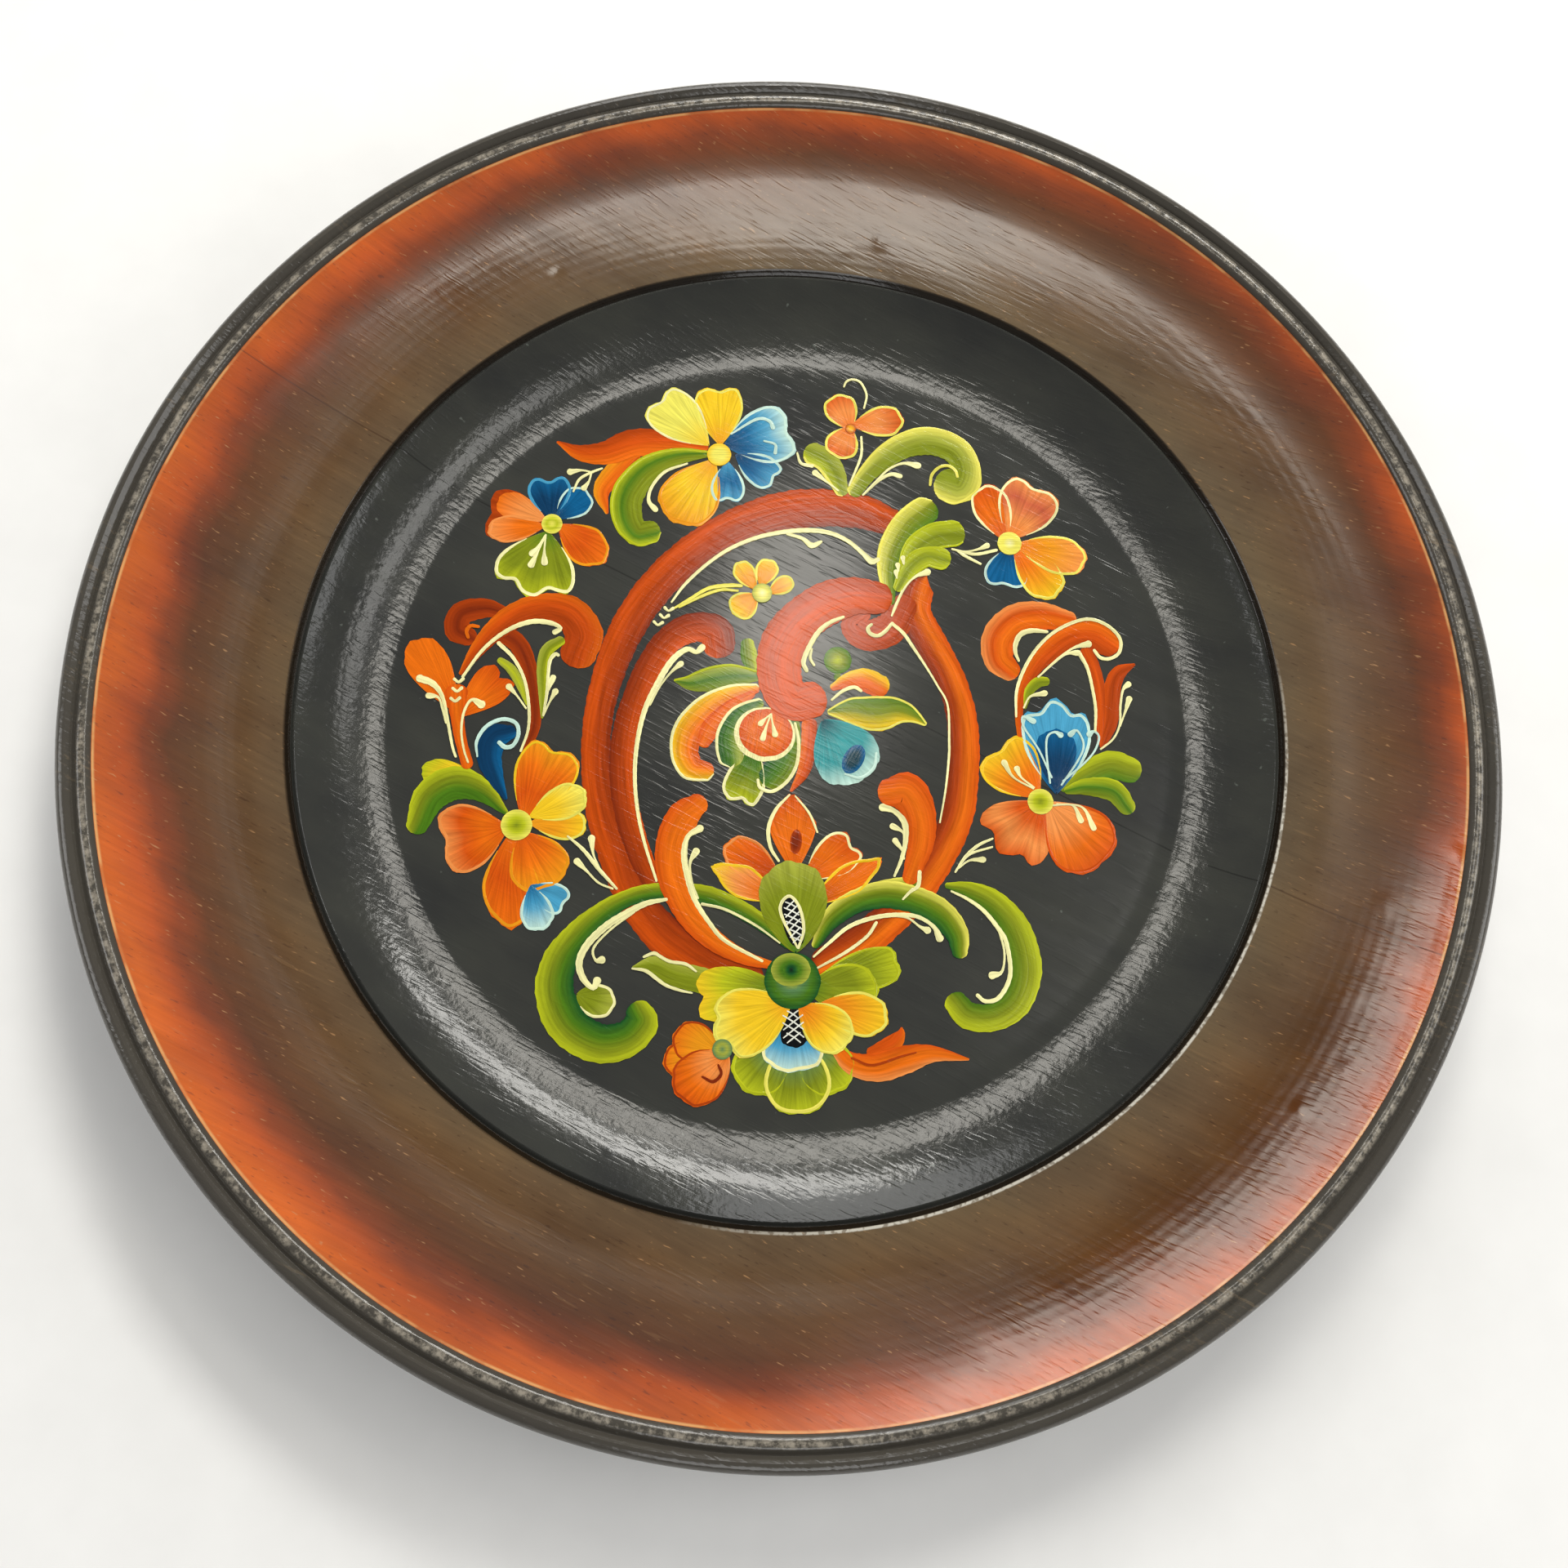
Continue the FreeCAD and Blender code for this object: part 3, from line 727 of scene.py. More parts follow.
m = Motif("ring_scroll", "rust_paint")
m.scroll("green olive lightolive", [(14, 53, 4.5), (14.5, 48, 3.8), (15.5, 43.5, 3.5), (17, 41, 3)], 0)
m.scroll("darkrust rust rust redorange rust", [(28, 57, 8), (20, 60, 10), (10, 61, 11), (0, 60, 11.5),
    (-10, 56.8, 11), (-20, 51.5, 10.5), (-30, 43.5, 10), (-38, 34, 9.5), (-44, 23, 9), (-48, 11, 8),
    (-50, 0, 7.5), (-50.2, -12, 7.5), (-48, -25, 8.5), (-44, -36, 9.5), (-41, -44, 9), (-36.5, -51, 9.5),
    (-29.5, -58, 10), (-21, -63.5, 10), (-11, -66.5, 8)], 1)
m.scroll("redorange orange rust darkrust", [(37, 41.5, 1), (35, 38, 8), (34, 31, 8.5), (38, 22, 8.5),
    (42, 14, 8), (44.6, 5, 8), (45.4, -4, 8.2), (44.8, -14, 8.2), (43, -24, 8.5), (39, -33, 8.5),
    (33, -42, 9), (26, -50, 9), (17, -57.5, 9), (8, -62.5, 8)], 1)
m.line([(-31, 33.5, .5), (-27.5, 38.5, .8), (-22, 44, .9), (-16, 48.5, 1), (-9, 51.8, 1.1), (-2, 53.6, 1.2),
    (5, 54.3, 1.3), (11, 53.7, 1.2), (16, 51.5, 1.1), (20, 48, 1.2), (22.5, 45.5, 1.8), (24.2, 46, 1.2)])
m.line([(0, 53.2, .8), (4, 51.9, 1), (6.5, 49.9, 1.6), (9, 51, .8)])
m.line([(27.5, 27.8, .9), (30.5, 25, .9), (33, 21, .8), (36, 16, .6), (39, 10.5, .5), (41.5, 5, .5),
    (41.5, -5, .6), (41.2, -9.5, .6), (40, -18, .5), (38.2, -26.5, .4)])

m = Motif("inner_scroll", "rust_paint")
m.scroll("darkrust rust redorange", [(-36, -41, 5), (-39, -34, 6), (-42, -24, 6.5), (-43.5, -13, 6.5),
    (-42.8, -2, 6.5), (-40, 8, 6.5), (-36, 17, 7), (-31, 23.5, 7.5), (-25, 26.5, 8.2), (-19.5, 25.5, 9),
    (-18.5, 21.5, 8.5)], 2)
m.line([(-23, 20.8, 1.9), (-24.5, 19.5, 1.2), (-27, 20.3, 1.4), (-31, 17, 1.6), (-35, 10, 1.5),
    (-38, 3, 1.3), (-39.8, -6, 1.1), (-40.2, -15, 1), (-39.3, -24, .9), (-37.5, -32, .8),
    (-34.5, -41.5, .6)])
m.head((-36.5, 5), (-34, 10), (-31, 14), (-28.5, 16.3), size=1.6)

m = Motif("centre_scroll", "rust_paint")
m.scroll("rust pinkrust pinkrust", [(31, 33, 7), (27, 26.5, 9), (20.5, 24.5, 8.5), (17, 27.5, 6.5),
    (20, 30.5, 4)], 2, fade=("rust", (0.9, 0.4, 0.1)))
m.scroll("rust redorange pinkrust rust", [(24, 35, 9), (17, 35.5, 11), (9.5, 33, 12), (2.5, 27.5, 12.5),
    (-2, 20, 12.5), (-2.5, 12, 11.5), (.5, 6, 10.5), (5.5, 6.5, 10)], 8,
    fade=("redorange", (0.1, 0.1, 0.3, 0.8, 0.7)))
m.line([(14.5, 29.5, .8), (11, 28, 1.1), (8, 25.5, 1.3), (5.5, 21.5, 1.3), (3.7, 17, 1.2), (4.5, 14.5, 1)],
    layer=10)
m.line([(6, 20.5, .5), (5.5, 18, .8), (6.5, 16, .6)], layer=10)
m.line([(27.5, 27.8, .8), (25.5, 25.5, 1), (23.5, 24.3, 1), (21.5, 25, 1.1), (21, 26.5, 1), (22, 27.5, .7)])

m = Motif("small_flower", "yellow_paint")
for base, tip, width in (((-8.5, 37), (-13.5, 45), 5.8), ((-7.5, 38), (-4.5, 45.8), 6.2), ((-5.5, 36),
    (1.2, 40.2), 5), ((-8, 36), (-14.8, 30.4), 8)):
    m.petal("amber amber yellow", base, tip, width, layer=4, edge=("lemon", .6))
m.disc("cream lemon lightolive", (-7, 36.2), 5.4)
m.line([(-31, 31.3, .5), (-26, 34.5, .8), (-21, 37.5, 1), (-15.5, 38.3, 1.1), (-12.5, 38.2, .8)], "lemon")
m.line([(-29, 32, .4), (-23, 35.2, .8), (-18, 37, .8), (-13.5, 36.8, .6)], "lemon")
for x, y in ((-31.8, 31), (-33, 29), (-34.6, 27)):
    m.line([(x - 1, y + .9, .8), (x, y, .6), (x + 1.2, y + .7, .9)])

m = Motif("middle_flower", "green_paint")
m.scroll("green olive lime", [(-9.5, 14, 1.5), (-10.5, 18, 4.5), (-11, 22, 3.5)], 2)
m.scroll("olive green lightolive", [(-9, 13, 3), (-15, 13, 6.5), (-21, 12, 6.5), (-26, 11, 4),
    (-30, 11.6, .6)], 2, edge=("right", "lime", .7))
m.scroll("redorange orange amber yellow", [(-9, 9.5, 2.5), (-15, 7.5, 6), (-21, 4, 8), (-26, -1.5, 8.5),
    (-27.5, -7.5, 7), (-25.5, -12, 6.5), (-22, -12.8, 5)], 3, edge=("right", "cream", .8))
m.scroll("redorange orange redorange", [(-10, 8, 2), (-16, 4, 4), (-20.5, -1, 5), (-22.5, -5, 3.5)], 4)
m.petal("deepgreen green olive lime", (-9, -6), (-14, -22.5), 11, 2, 4, ("cream", .8))
m.scroll("lightolive green deepgreen", [(-8, 5.5, 2.5), (-13, 2, 6), (-16, -3.5, 6.5), (-15.5, -9, 6.5)], 5,
    edge=("right", "cream", .8))
m.scroll("olive green deepgreen", [(1, 0, 3), (.2, -6, 5), (-2.5, -11.5, 8), (-5, -14.5, 7)], 5)
m.line([(1.2, 0, .7), (2.1, -5, .9), (1.5, -11, .9), (-1, -15.5, .9), (-4.8, -18.2, .9), (-8, -17.3, .9),
    (-8.6, -15.2, .7)])
m.scroll("rust redorange orange", [(5, 0, 4), (4.6, -7, 4), (3.2, -13, 3.2), (0, -18, .8)], 4)
m.disc("cream cream cream", (-6.7, -2.9), 16, 14.8, 80, 6)
m.disc("redorange orange redorange", (-6.4, -2.5), 14.0, 13.0, 80, 7)
for end in ((-7.7, 0), (-7.2, -4), (-4, -3)):
    m.head((-5, 2.5), ((end[0] - 5.2) / 2, (end[1] + 2.6) / 2), end, size=1.6, layer=10)

m = Motif("bell_flower", "blue_paint")
m.scroll("green olive", [(12.5, 12.5, 1.6), (12.8, 15, 1.6)], 2)
m.disc("lime olive green", (12.8, 17.5), 7.4, layer=4)
m.scroll("yellow orange redorange", [(11.5, 10, 2), (15.5, 11.8, 4.5), (20, 12, 6.5), (23.5, 10.3, 6.5)], 3)
m.line([(11, 6.5, .6), (14, 9, .9), (17, 10, 1), (18.7, 9, .8)])
m.scroll("green olive yellow", [(10.5, 3.2, 1.5), (16, 3.5, 7), (22.5, 2.8, 9.5), (28.5, 3.5, 7),
    (33, 1.8, 3), (35.3, 0, .8)], 4, edge=("both", "lemon", .6))
m.petal("darkteal teal teal pale", (8.5, 1), (18.5, -15), 17.5, 1, 5, slim=0.35)
m.disc("darkteal darkteal blue", (16.3, -9.6), 5.2, 8.5, 60, 7)
m.line([(14, -13.6, .5), (18, -14.6, .8), (21.5, -12, .9), (22.3, -8, .6)], "pale", 8)

m = Motif("lotus", "orange_paint")
m.petal("rust redorange orange", (-3, -41), (-17, -32), 10, 1, 3, ("peach", .7))
m.petal("rust orange peach yellow", (-3, -47), (-20.5, -37.6), 9, 1, 4, ("yellow", .7), point=.6)
m.petal("redorange orange redorange", (3, -41), (17, -31), 11.5, 2, 3, ("cream", .7))
m.petal("rust orange orange", (4, -48), (23, -36), 8.5, 1, 4, ("yellow", .8), point=.6)
m.petal("redorange orange orange redorange", (.5, -40), (0, -18.8), 14, 1, 5, point=.65, slim=.6)
m.disc("darkrust darkrust rust", (1, -31.5), 3, 6.5, 85, 7)
m.line([(-.5, -19.2, .5), (-4, -23, .9), (-6, -28, 1), (-5.5, -33, .9), (-3.5, -36.5, .6)])
m.line([(1, -19.5, .4), (4.5, -24, .6), (6.5, -29, .5)])
m.petal("green olive olive lightolive", (.5, -60), (-.3, -36.6), 17, 1, 7, slim=.3)
m.disc("black black black", (0, -52), 5.4, 13.5, 100, 9)
m.line([(1.2, -58.8, .6), (2.6, -54, .8), (1.6, -48.5, .8), (-.8, -45.6, .8), (-3, -47.5, .8),
    (-2.8, -51, .8), (1, -58.8, .5)], layer=10)
m.hatch((.9, -57.5), (-1, -46), 1.9, 1.8)

m = Motif("left_comma", "orange_paint")
m.scroll("orange orange redorange", [(-24, -21.5, 5.5), (-27.5, -24.5, 8), (-30.5, -30, 7.5),
    (-31.3, -37, 7.3), (-29.5, -44.5, 6.5), (-25.5, -51.5, 6), (-19, -57.5, 5), (-12, -61.3, 3.5),
    (-6, -63, 2)], 8)
m.line([(-23.5, -28, 1.9), (-26.5, -30, 1.2), (-27.5, -34, 1.6), (-27, -39, 1.5), (-25, -46, 1.3),
    (-21, -52.5, 1.1), (-17, -57, 1), (-8, -62, .7)], layer=10)
m.head((-24, -46), (-25.5, -42), (-26, -37), (-24.5, -34), layer=10)

m = Motif("right_comma", "orange_paint")
m.scroll("redorange orange redorange", [(25.5, -18.5, 7.5), (30, -18.5, 10.5), (33, -24, 8.5),
    (33.3, -31, 7), (31.5, -37, 5.5), (30, -41, 4)], 5)
m.line([(23.5, -22.5, 2), (26.5, -23.5, 1.3), (29, -26.5, 1.6), (29.2, -31, 1.3), (28, -36, 1),
    (26, -40.5, .6)])
m.head((28.8, -31), (28.5, -29), (26, -27.5), size=1.7)
m.head((28.6, -36), (28.3, -34), (26.5, -31.3), size=1.6)

m = Motif("crest_flower", "orange_paint")
m.scroll("redorange orange amber", [(-42, 76, 5), (-47, 70, 6), (-50, 65, 4.5), (-48.5, 59, 1)], 2)
m.scroll("rust redorange orange", [(-62, 79.5, .8), (-56, 76.5, 4.5), (-49, 76.5, 7), (-41, 79.5, 8.5),
    (-32, 80, 5.5), (-22, 78.5, 2)], 3)
m.petal("yellow lemon lemon", (-21, 79), (-36.5, 94), 15, 2, 4, ("cream", .6))
m.petal("amber yellow yellow", (-18, 79), (-18.5, 98), 14, 2, 4, ("lemon", .6))
m.petal("deepblue blue sky pale", (-17, 79), (3, 84.5), 18, 2, 4, ("pale", .8))
m.petal("deepblue blue sky", (-14, 76.5), (-2, 68.5), 10, 2, 4, ("pale", .7))
m.petal("sky blue sky", (-16, 74.5), (-16, 61.5), 9.5, 2, 4, ("pale", .7))
m.petal("amber yellow amber", (-19.5, 75), (-30.5, 56.5), 17, 1, 4, ("amber", .8))
m.scroll("olive olive green lime", [(-36.8, 53.5, 6.5), (-40.5, 53.2, 7), (-43, 58, 8), (-42.7, 64.5, 8.6),
    (-38, 71.3, 7.5), (-30, 75.4, 5), (-21, 76.4, 1.5)][::-1], 5, edge=("right", "lime", .8))
m.line([(-27, 73.5, .5), (-33, 71, .8), (-36.5, 66.5, .8), (-37.3, 62.5, 1), (-35.5, 60, 1.6)])
m.line([(-15, 82.5, .5), (-8, 87, .8), (-4.5, 86.5, .9), (-3.5, 84.5, 1.2)], "pale")
m.line([(-6, 80.5, .5), (-3, 79.5, .7), (-3, 77, 1)], "pale")
m.disc("lemon lemon yellow", (-18.3, 76.3), 6.6)

m = Motif("upper_left_flower", "orange_paint")
m.petal("darkrust rust rust", (-64, 56), (-81.5, 59), 16, 2, 3)
m.petal("peach peach orange", (-64.5, 56.5), (-77.5, 62.5), 8.5, 1, 4)
m.petal("orange orange peach", (-64.5, 55), (-80, 53.5), 8, 1, 4, ("peach", .6))
m.petal("deepblue deepblue blue", (-63.3, 57), (-64.3, 70.2), 12, 2, 4, ("sky", .8), depth=.22)
m.petal("deepblue blue blue", (-62, 57), (-53.5, 65), 9, 1, 4, ("pale", .6))
m.petal("orange redorange orange", (-61.5, 55.5), (-48.5, 45), 12, 1, 4, ("amber", .7), point=.3)
m.petal("green olive olive lime", (-64, 53.5), (-69, 34.8), 23, 3, 4, ("cream", .9))
for end in ((-68, 47), (-68.2, 43.8), (-64.7, 44.5)):
    m.head((-64.6, 52.3), ((end[0] - 65) / 2, (end[1] + 52) / 2 - .5), end)
m.line([(-57.5, 65, .5), (-56, 68.5, .7), (-53, 70.5, .7), (-50, 71.8, .5)])
m.head((-52.5, 70.6), (-55.5, 71.2), (-58.5, 70.7), size=1.8)
m.head((-52.8, 70.5), (-53.4, 68), (-54.7, 66), size=1.6)
m.disc("lemon lime lemon", (-63, 55.5), 5.6)

m = Motif("left_scroll", "rust_paint")
m.scroll("rust darkrust rust", [(-75, 30.5, 3), (-80, 31.5, 5.5), (-86, 30, 6.5), (-87, 25.5, 6.5),
    (-84, 23.5, 5)], 2)
m.line([(-81.5, 26.3, .8), (-83.5, 26.5, 1), (-84.5, 25, 1), (-84, 23.3, .8)], "orange")
m.scroll("orange redorange rust rust", [(-85.5, 13.5, 1.2), (-81.5, 20, 4), (-77, 25.5, 6), (-71, 30, 7.2),
    (-64, 31.8, 8), (-57.5, 30, 9.5), (-54, 24.5, 10), (-55.3, 19, 9.5)], 4, fade=("rust", (0, 0.2, 0.5)))
m.scroll("rust darkrust rust", [(-76, 25, 5), (-71, 21.5, 5), (-67.8, 14, 4.2), (-66.3, 5, 3.4),
    (-66.3, -1, 3.2), (-68, -6, 2.5)], 3)
m.petal("redorange orange orange", (-85.5, 2), (-98, 22.5), 12.5, 1, 4, slim=.7)
m.petal("redorange orange redorange", (-86.5, 1), (-73.5, 14.5), 12, 2, 4, slim=.7)
m.scroll("redorange orange redorange", [(-86.5, 8, 6), (-86, 2, 3.6), (-85, -4, 3), (-83, -11, 3)], 5)
m.line([(-85, 12.5, .7), (-80, 20, .9), (-74, 25.2, 1.1), (-68, 27.7, 1.3), (-63, 27.5, 1.3), (-60, 26, .9),
    (-61.5, 24.9, 1.5)])
for x, y in ((-86, 11), (-86.3, 8.5), (-86.7, 5.8)):
    m.line([(x - 1.1, y + .8, .8), (x, y, .7), (x + 1.1, y + .9, .9)])
m.line([(-96, 12, 2), (-92.5, 10.5, 1.6), (-90, 7, 1), (-88.5, 1, .8), (-87, -6, .7), (-86, -9, .6)])
m.head((-88.8, 0), (-89.8, 3.5), (-91, 6.8), (-93.5, 7.3), size=1.7)
m.head((-82.8, -10.5), (-84, -7), (-84.8, -2), (-84.3, 3), (-82.5, 6.2), (-80, 5), size=2.2)
m.line([(-76, 21.7, 1.1), (-72, 17.5, .9), (-69, 11.5, .8), (-67.7, 4, .8), (-67.8, -2, .7),
    (-69.5, -7.5, .6)])
m.scroll("lightolive lime lightolive", [(-68.3, 5, .6), (-70, 10, 2.2), (-72.5, 14.5, 2.6),
    (-75.5, 17, 1.8)], 6)
m.scroll("lightolive olive lime", [(-64.3, 1.5, .6), (-64.3, 8, 2.2), (-64.6, 15, 2.8), (-63.3, 20, 3.4),
    (-60, 22.5, 2.6)], 6)
m.line([(-64, 2, .5), (-63.2, 8, .8), (-63, 13, .8), (-62.6, 17, .9), (-61.3, 18.8, 1), (-60.5, 18.5, .8)])
m.head((-63.8, 4), (-63.2, 8), (-61.7, 12.3), size=1.6)
m.head((-64, 2), (-62.3, 6), (-61, 8.6), size=1.6)
m.head((-68.5, 4), (-71, 7.5), (-73, 9.8), size=1.7)
m.scroll("blue deepblue deepblue", [(-72.5, -2.5, 4), (-76.5, -4, 7.5), (-77.5, -9, 6.5), (-75.5, -15, 4),
    (-73, -20, 1)], 5)
m.line([(-80.5, -9, .4), (-80.8, -5, .8), (-78.5, -1, 1), (-74.5, 1, 1), (-71, 0, 1), (-70.2, -3, 1),
    (-71.5, -6, 1), (-73.5, -6.5, 1.2), (-75, -5.3, 1.1)], "pale")

m = Motif("left_flower", "orange_paint")
m.scroll("green green olive lime", [(-73, -23.5, 1.5), (-79, -18, 6), (-86, -16, 9), (-92, -19.5, 8.5),
    (-95, -27, 5.5)], 3)
m.petal("olive yellow lime", (-80, -14.5), (-94.5, -12.5), 7.5, 1, 2)
m.petal("orange redorange orange amber", (-68.5, -26), (-59.5, -4.8), 17, 2, 5, ("yellow", .6))
m.petal("yellow yellow lemon", (-67, -25), (-52.6, -18.5), 9.5, 1, 6, ("lemon", .6))
m.petal("amber amber yellow", (-67, -26.5), (-52.3, -27), 8.5, 1, 5, ("lemon", .6))
m.petal("redorange orange amber", (-69, -28.5), (-61, -43), 16, 1, 4, ("amber", .8))
m.petal("orange redorange orange", (-71.5, -29), (-70.5, -53.5), 15.5, 1, 3, ("amber", .8), point=.35)
m.petal("redorange orange redorange peach", (-72, -27.5), (-90, -32), 19, 2, 4, ("peach", .7))
m.line([(-57, -30, .5), (-53, -33.5, .9), (-49, -38.5, 1), (-44.5, -43.5, .6)])
m.head((-49, -38), (-50.5, -34.5), (-51, -30.5), size=1.8)
m.head((-45.5, -43.5), (-49, -42), (-52, -39), (-54.5, -36.5), size=1.8)
m.disc("olive lime lemon", (-70, -27), 8)

m = Motif("blue_bud", "blue_paint")
m.petal("blue sky sky", (-66, -42.5), (-56.5, -48), 8, 2, 4, ("pale", .7))
m.petal("blue sky pale", (-66, -42.5), (-63.2, -54), 8.5, 1, 5, ("pale", .7))

m = Motif("left_green_scroll", "green_paint")
m.scroll("deepgreen green olive lime", [(-1.5, -58, 2), (-7, -53, 4), (-14, -48.5, 4.5), (-22, -45.2, 4.8),
    (-31, -44, 4.2), (-39, -45, 4.2), (-46.5, -48.5, 5), (-53, -54, 6.5), (-58, -61, 8.5),
    (-59.5, -69, 9.5), (-56, -77.5, 10), (-48.5, -82, 9.5), (-41.5, -81, 9), (-37.8, -77, 8.2),
    (-38.6, -74.5, 6.5)], 5)
m.petal("olive olive lightolive", (-54, -70), (-44.6, -73), 7.5, 1, 6, ("cream", .7), slim=.2)
m.line([(-32, -46.3, .8), (-37, -47.3, 1.4), (-42, -49.8, 1.7), (-47, -53, 1.8), (-51.5, -57.5, 1.8),
    (-53.5, -62, 1.7), (-52.5, -66, 1.6), (-50, -68.5, 1.2), (-49, -66.7, 2)])
m.head((-40, -49.5), (-46, -54), (-50, -58.5), (-49.5, -61.5), (-48, -61.5), size=2)
m.line([(-23, -47.5, .7), (-17, -49, .7), (-9.5, -53, .6), (-3.5, -57.5, .4)])

m = Motif("right_green_scroll", "green_paint")
m.scroll("lime olive green", [(39.5, -43, 1.5), (45, -44, 4), (51, -47, 6), (55.5, -52, 7), (58, -58.5, 8),
    (58.5, -66, 8), (55.5, -73, 7.5), (49.5, -76.5, 7), (43.5, -76, 7), (40.5, -72.8, 6)], 4)
m.scroll("lemon olive green", [(14, -46, 2.5), (20, -44, 3.2), (26, -42.8, 3.6), (31.5, -42, 3)], 4)
m.line([(28, -46.5, .5), (30, -44.5, .8), (32, -43, 1), (32.5, -39.5, 1)])
m.scroll("lemon olive green deepgreen", [(5.5, -58, 2), (9.5, -51.5, 5), (16, -47, 6), (24, -45.3, 7),
    (32, -47, 7), (38, -50.5, 7), (41.5, -55.5, 6), (42, -60, 4)], 5)
m.line([(5, -61, .5), (9, -57.5, .8), (14, -53.5, 1), (20, -51.3, 1.1), (26, -50.5, 1.1), (31.5, -51, 1),
    (35.5, -53.5, 1), (37, -56.5, 2)])
m.head((25, -50.7), (29, -51.3), (32, -53.5), (34, -54.5), size=1.8)
m.line([(21, -52.5, .8), (18.5, -56, .8), (13, -60, .8), (6, -63.8, .5)])
m.line([(40.5, -44.5, .5), (44.5, -46.5, .8), (48.5, -49.5, 1), (52, -54, 1.1), (54, -58, 1.1),
    (54.5, -66, 1.1), (51.5, -71.5, 1.1), (48, -72.5, 1), (46, -71, .9)])
m.head((52, -54), (53.3, -60), (52.5, -65), (50, -66), size=2)

m = Motif("knob_leaves", "green_paint")
m.scroll("olive olive lightolive", [(-18, -68, 6), (-24, -66.5, 6.5), (-30, -65, 6), (-35, -62.8, 4.6),
    (-40, -63.4, .8)], 4)
m.line([(-24.5, -64.5, .5), (-27, -62.7, .8), (-31, -62, .8), (-33.3, -60.8, .8), (-35, -59.9, .9),
    (-37.5, -60.8, .6)])
m.line([(-40.3, -63.7, .5), (-37, -64.3, .9), (-34, -66.5, .9), (-31.8, -68, .8), (-28.5, -69.2, .7),
    (-25.5, -69.9, .4)])
m.petal("green olive olive lime", (4, -68), (28, -62), 11, 2, 4, ("lime", .6), depth=.1)
m.petal("green olive olive lime", (3, -69), (21, -69.5), 13, 1, 5, ("lime", .7), slim=.35)
m.petal("green olive lime yellow", (-3, -69), (-26, -71), 14, 2, 5, slim=.35)
for base, tip, width in (((-2, -80), (-13, -93.5), 14), ((2, -80), (11.5, -94), 14)):
    m.petal("greygreen greygreen olive lime", base, tip, width, 1, 3, ("lime", .8), slim=.4)
m.petal("greygreen greygreen olive lime", (0, -80), (.8, -99.8), 16.5, 1, 4, ("lemon", .9), slim=.4)
m.petal("deepblue blue sky pale", (-.5, -73), (-.5, -89.5), 17.5, 1, 6, ("cream", .8), slim=.75)
m.petal("black black black", (-.5, -72), (0, -83.5), 8.5, 1, 7, slim=.9)
m.hatch((-.5, -74.5), (-.3, -82.5), 2.6, 1.9)
m.petal("amber yellow yellow lemon", (-1, -72.5), (-20.5, -80.5), 17, 3, 8, ("lemon", .6), depth=.12,
    slim=.35)
m.petal("orange amber yellow", (6, -73), (23.3, -77), 11, 1, 7, ("lemon", .7), slim=.4)
m.petal("orange amber yellow lemon", (1, -73), (13.2, -83), 12, 1, 8, ("lemon", .6), slim=.4)
m.disc("lime greygreen green deepgreen", (-.4, -67), 14.2, layer=9)
m.disc("deepgreen green lightolive", (-.8, -64.3), 8.4, 10, layer=10)
m.disc("black deepgreen green", (-.7, -64.3), 4, layer=11)

m = Motif("lower_bud", "orange_paint")
m.petal("amber amber orange", (-18.5, -84.5), (-30, -80), 9.5, 1, 4, ("rust", .5), slim=.25)
m.petal("orange amber amber orange", (-19, -85), (-32.5, -87), 9, 1, 3, ("rust", .5), slim=.25)
m.petal("orange peach orange redorange", (-16.5, -85), (-29, -95), 12.5, 1, 5, ("rust", .5), slim=.25)
m.line([(-19, -87.6, .5), (-18.3, -89.8, .8), (-20.3, -91.6, .8), (-22.9, -90.4, .5)], "darkrust")
m.disc("greygreen lightolive greygreen", (-18, -83.8), 5)

m = Motif("flame_leaf", "orange_paint")
m.scroll("redorange redorange orange", [(19, -85, 3), (24, -83, 4.5), (26.3, -80.5, 2.5), (26.6, -79, .6)],
    3)
m.scroll("redorange orange orange peach", [(10, -84, 2.5), (14, -87.5, 5.5), (20, -88.6, 7), (27, -86.8, 7),
    (34, -85.4, 4.2), (43, -86.8, .6)], 4)
m.line([(14, -86.2, .5), (19, -88, .6), (26, -86, .5), (30, -85, .3)], "rust")

m = Motif("right_flower", "orange_paint")
m.scroll("lime olive green", [(71, -17.5, 2), (77, -13.5, 5), (83.5, -11, 7.5), (89, -12.5, 7)], 3)
m.scroll("lime green olive", [(72, -18, 2), (77, -17, 4.5), (84, -18, 6), (87.5, -22.5, 4.5)], 4)
m.petal("orange orange amber yellow", (64.5, -20), (53, -5.5), 17, 2, 4, ("yellow", .7))
m.petal("redorange redorange peach redorange", (65, -21), (53.5, -34.5), 21, 3, 5)
m.petal("peach peach orange redorange", (66.5, -21), (80, -37.5), 20, 1, 5, ("redorange", .7))
for points in (((63, -17.5), (58, -14.5), (55.7, -10.5)), ((63.2, -17.2), (60, -14.5), (59, -12.2)),
    ((68, -22), (73, -22), (75, -26)), ((69, -21.7), (75.5, -22.5), (78.2, -28))):
    m.head(*points, size=1.6)
m.line([(41.7, -39.5, .5), (44.5, -35.5, .8), (48, -32.5, .8), (51.7, -30.8, .5)])
m.line([(42, -39, .4), (45.5, -35, .6), (51.5, -33, .5)])
m.head((42.5, -38.5), (45.5, -36.5), (49, -36.3), size=1.6)
m.disc("olive lime lemon", (64.7, -21), 6.8)

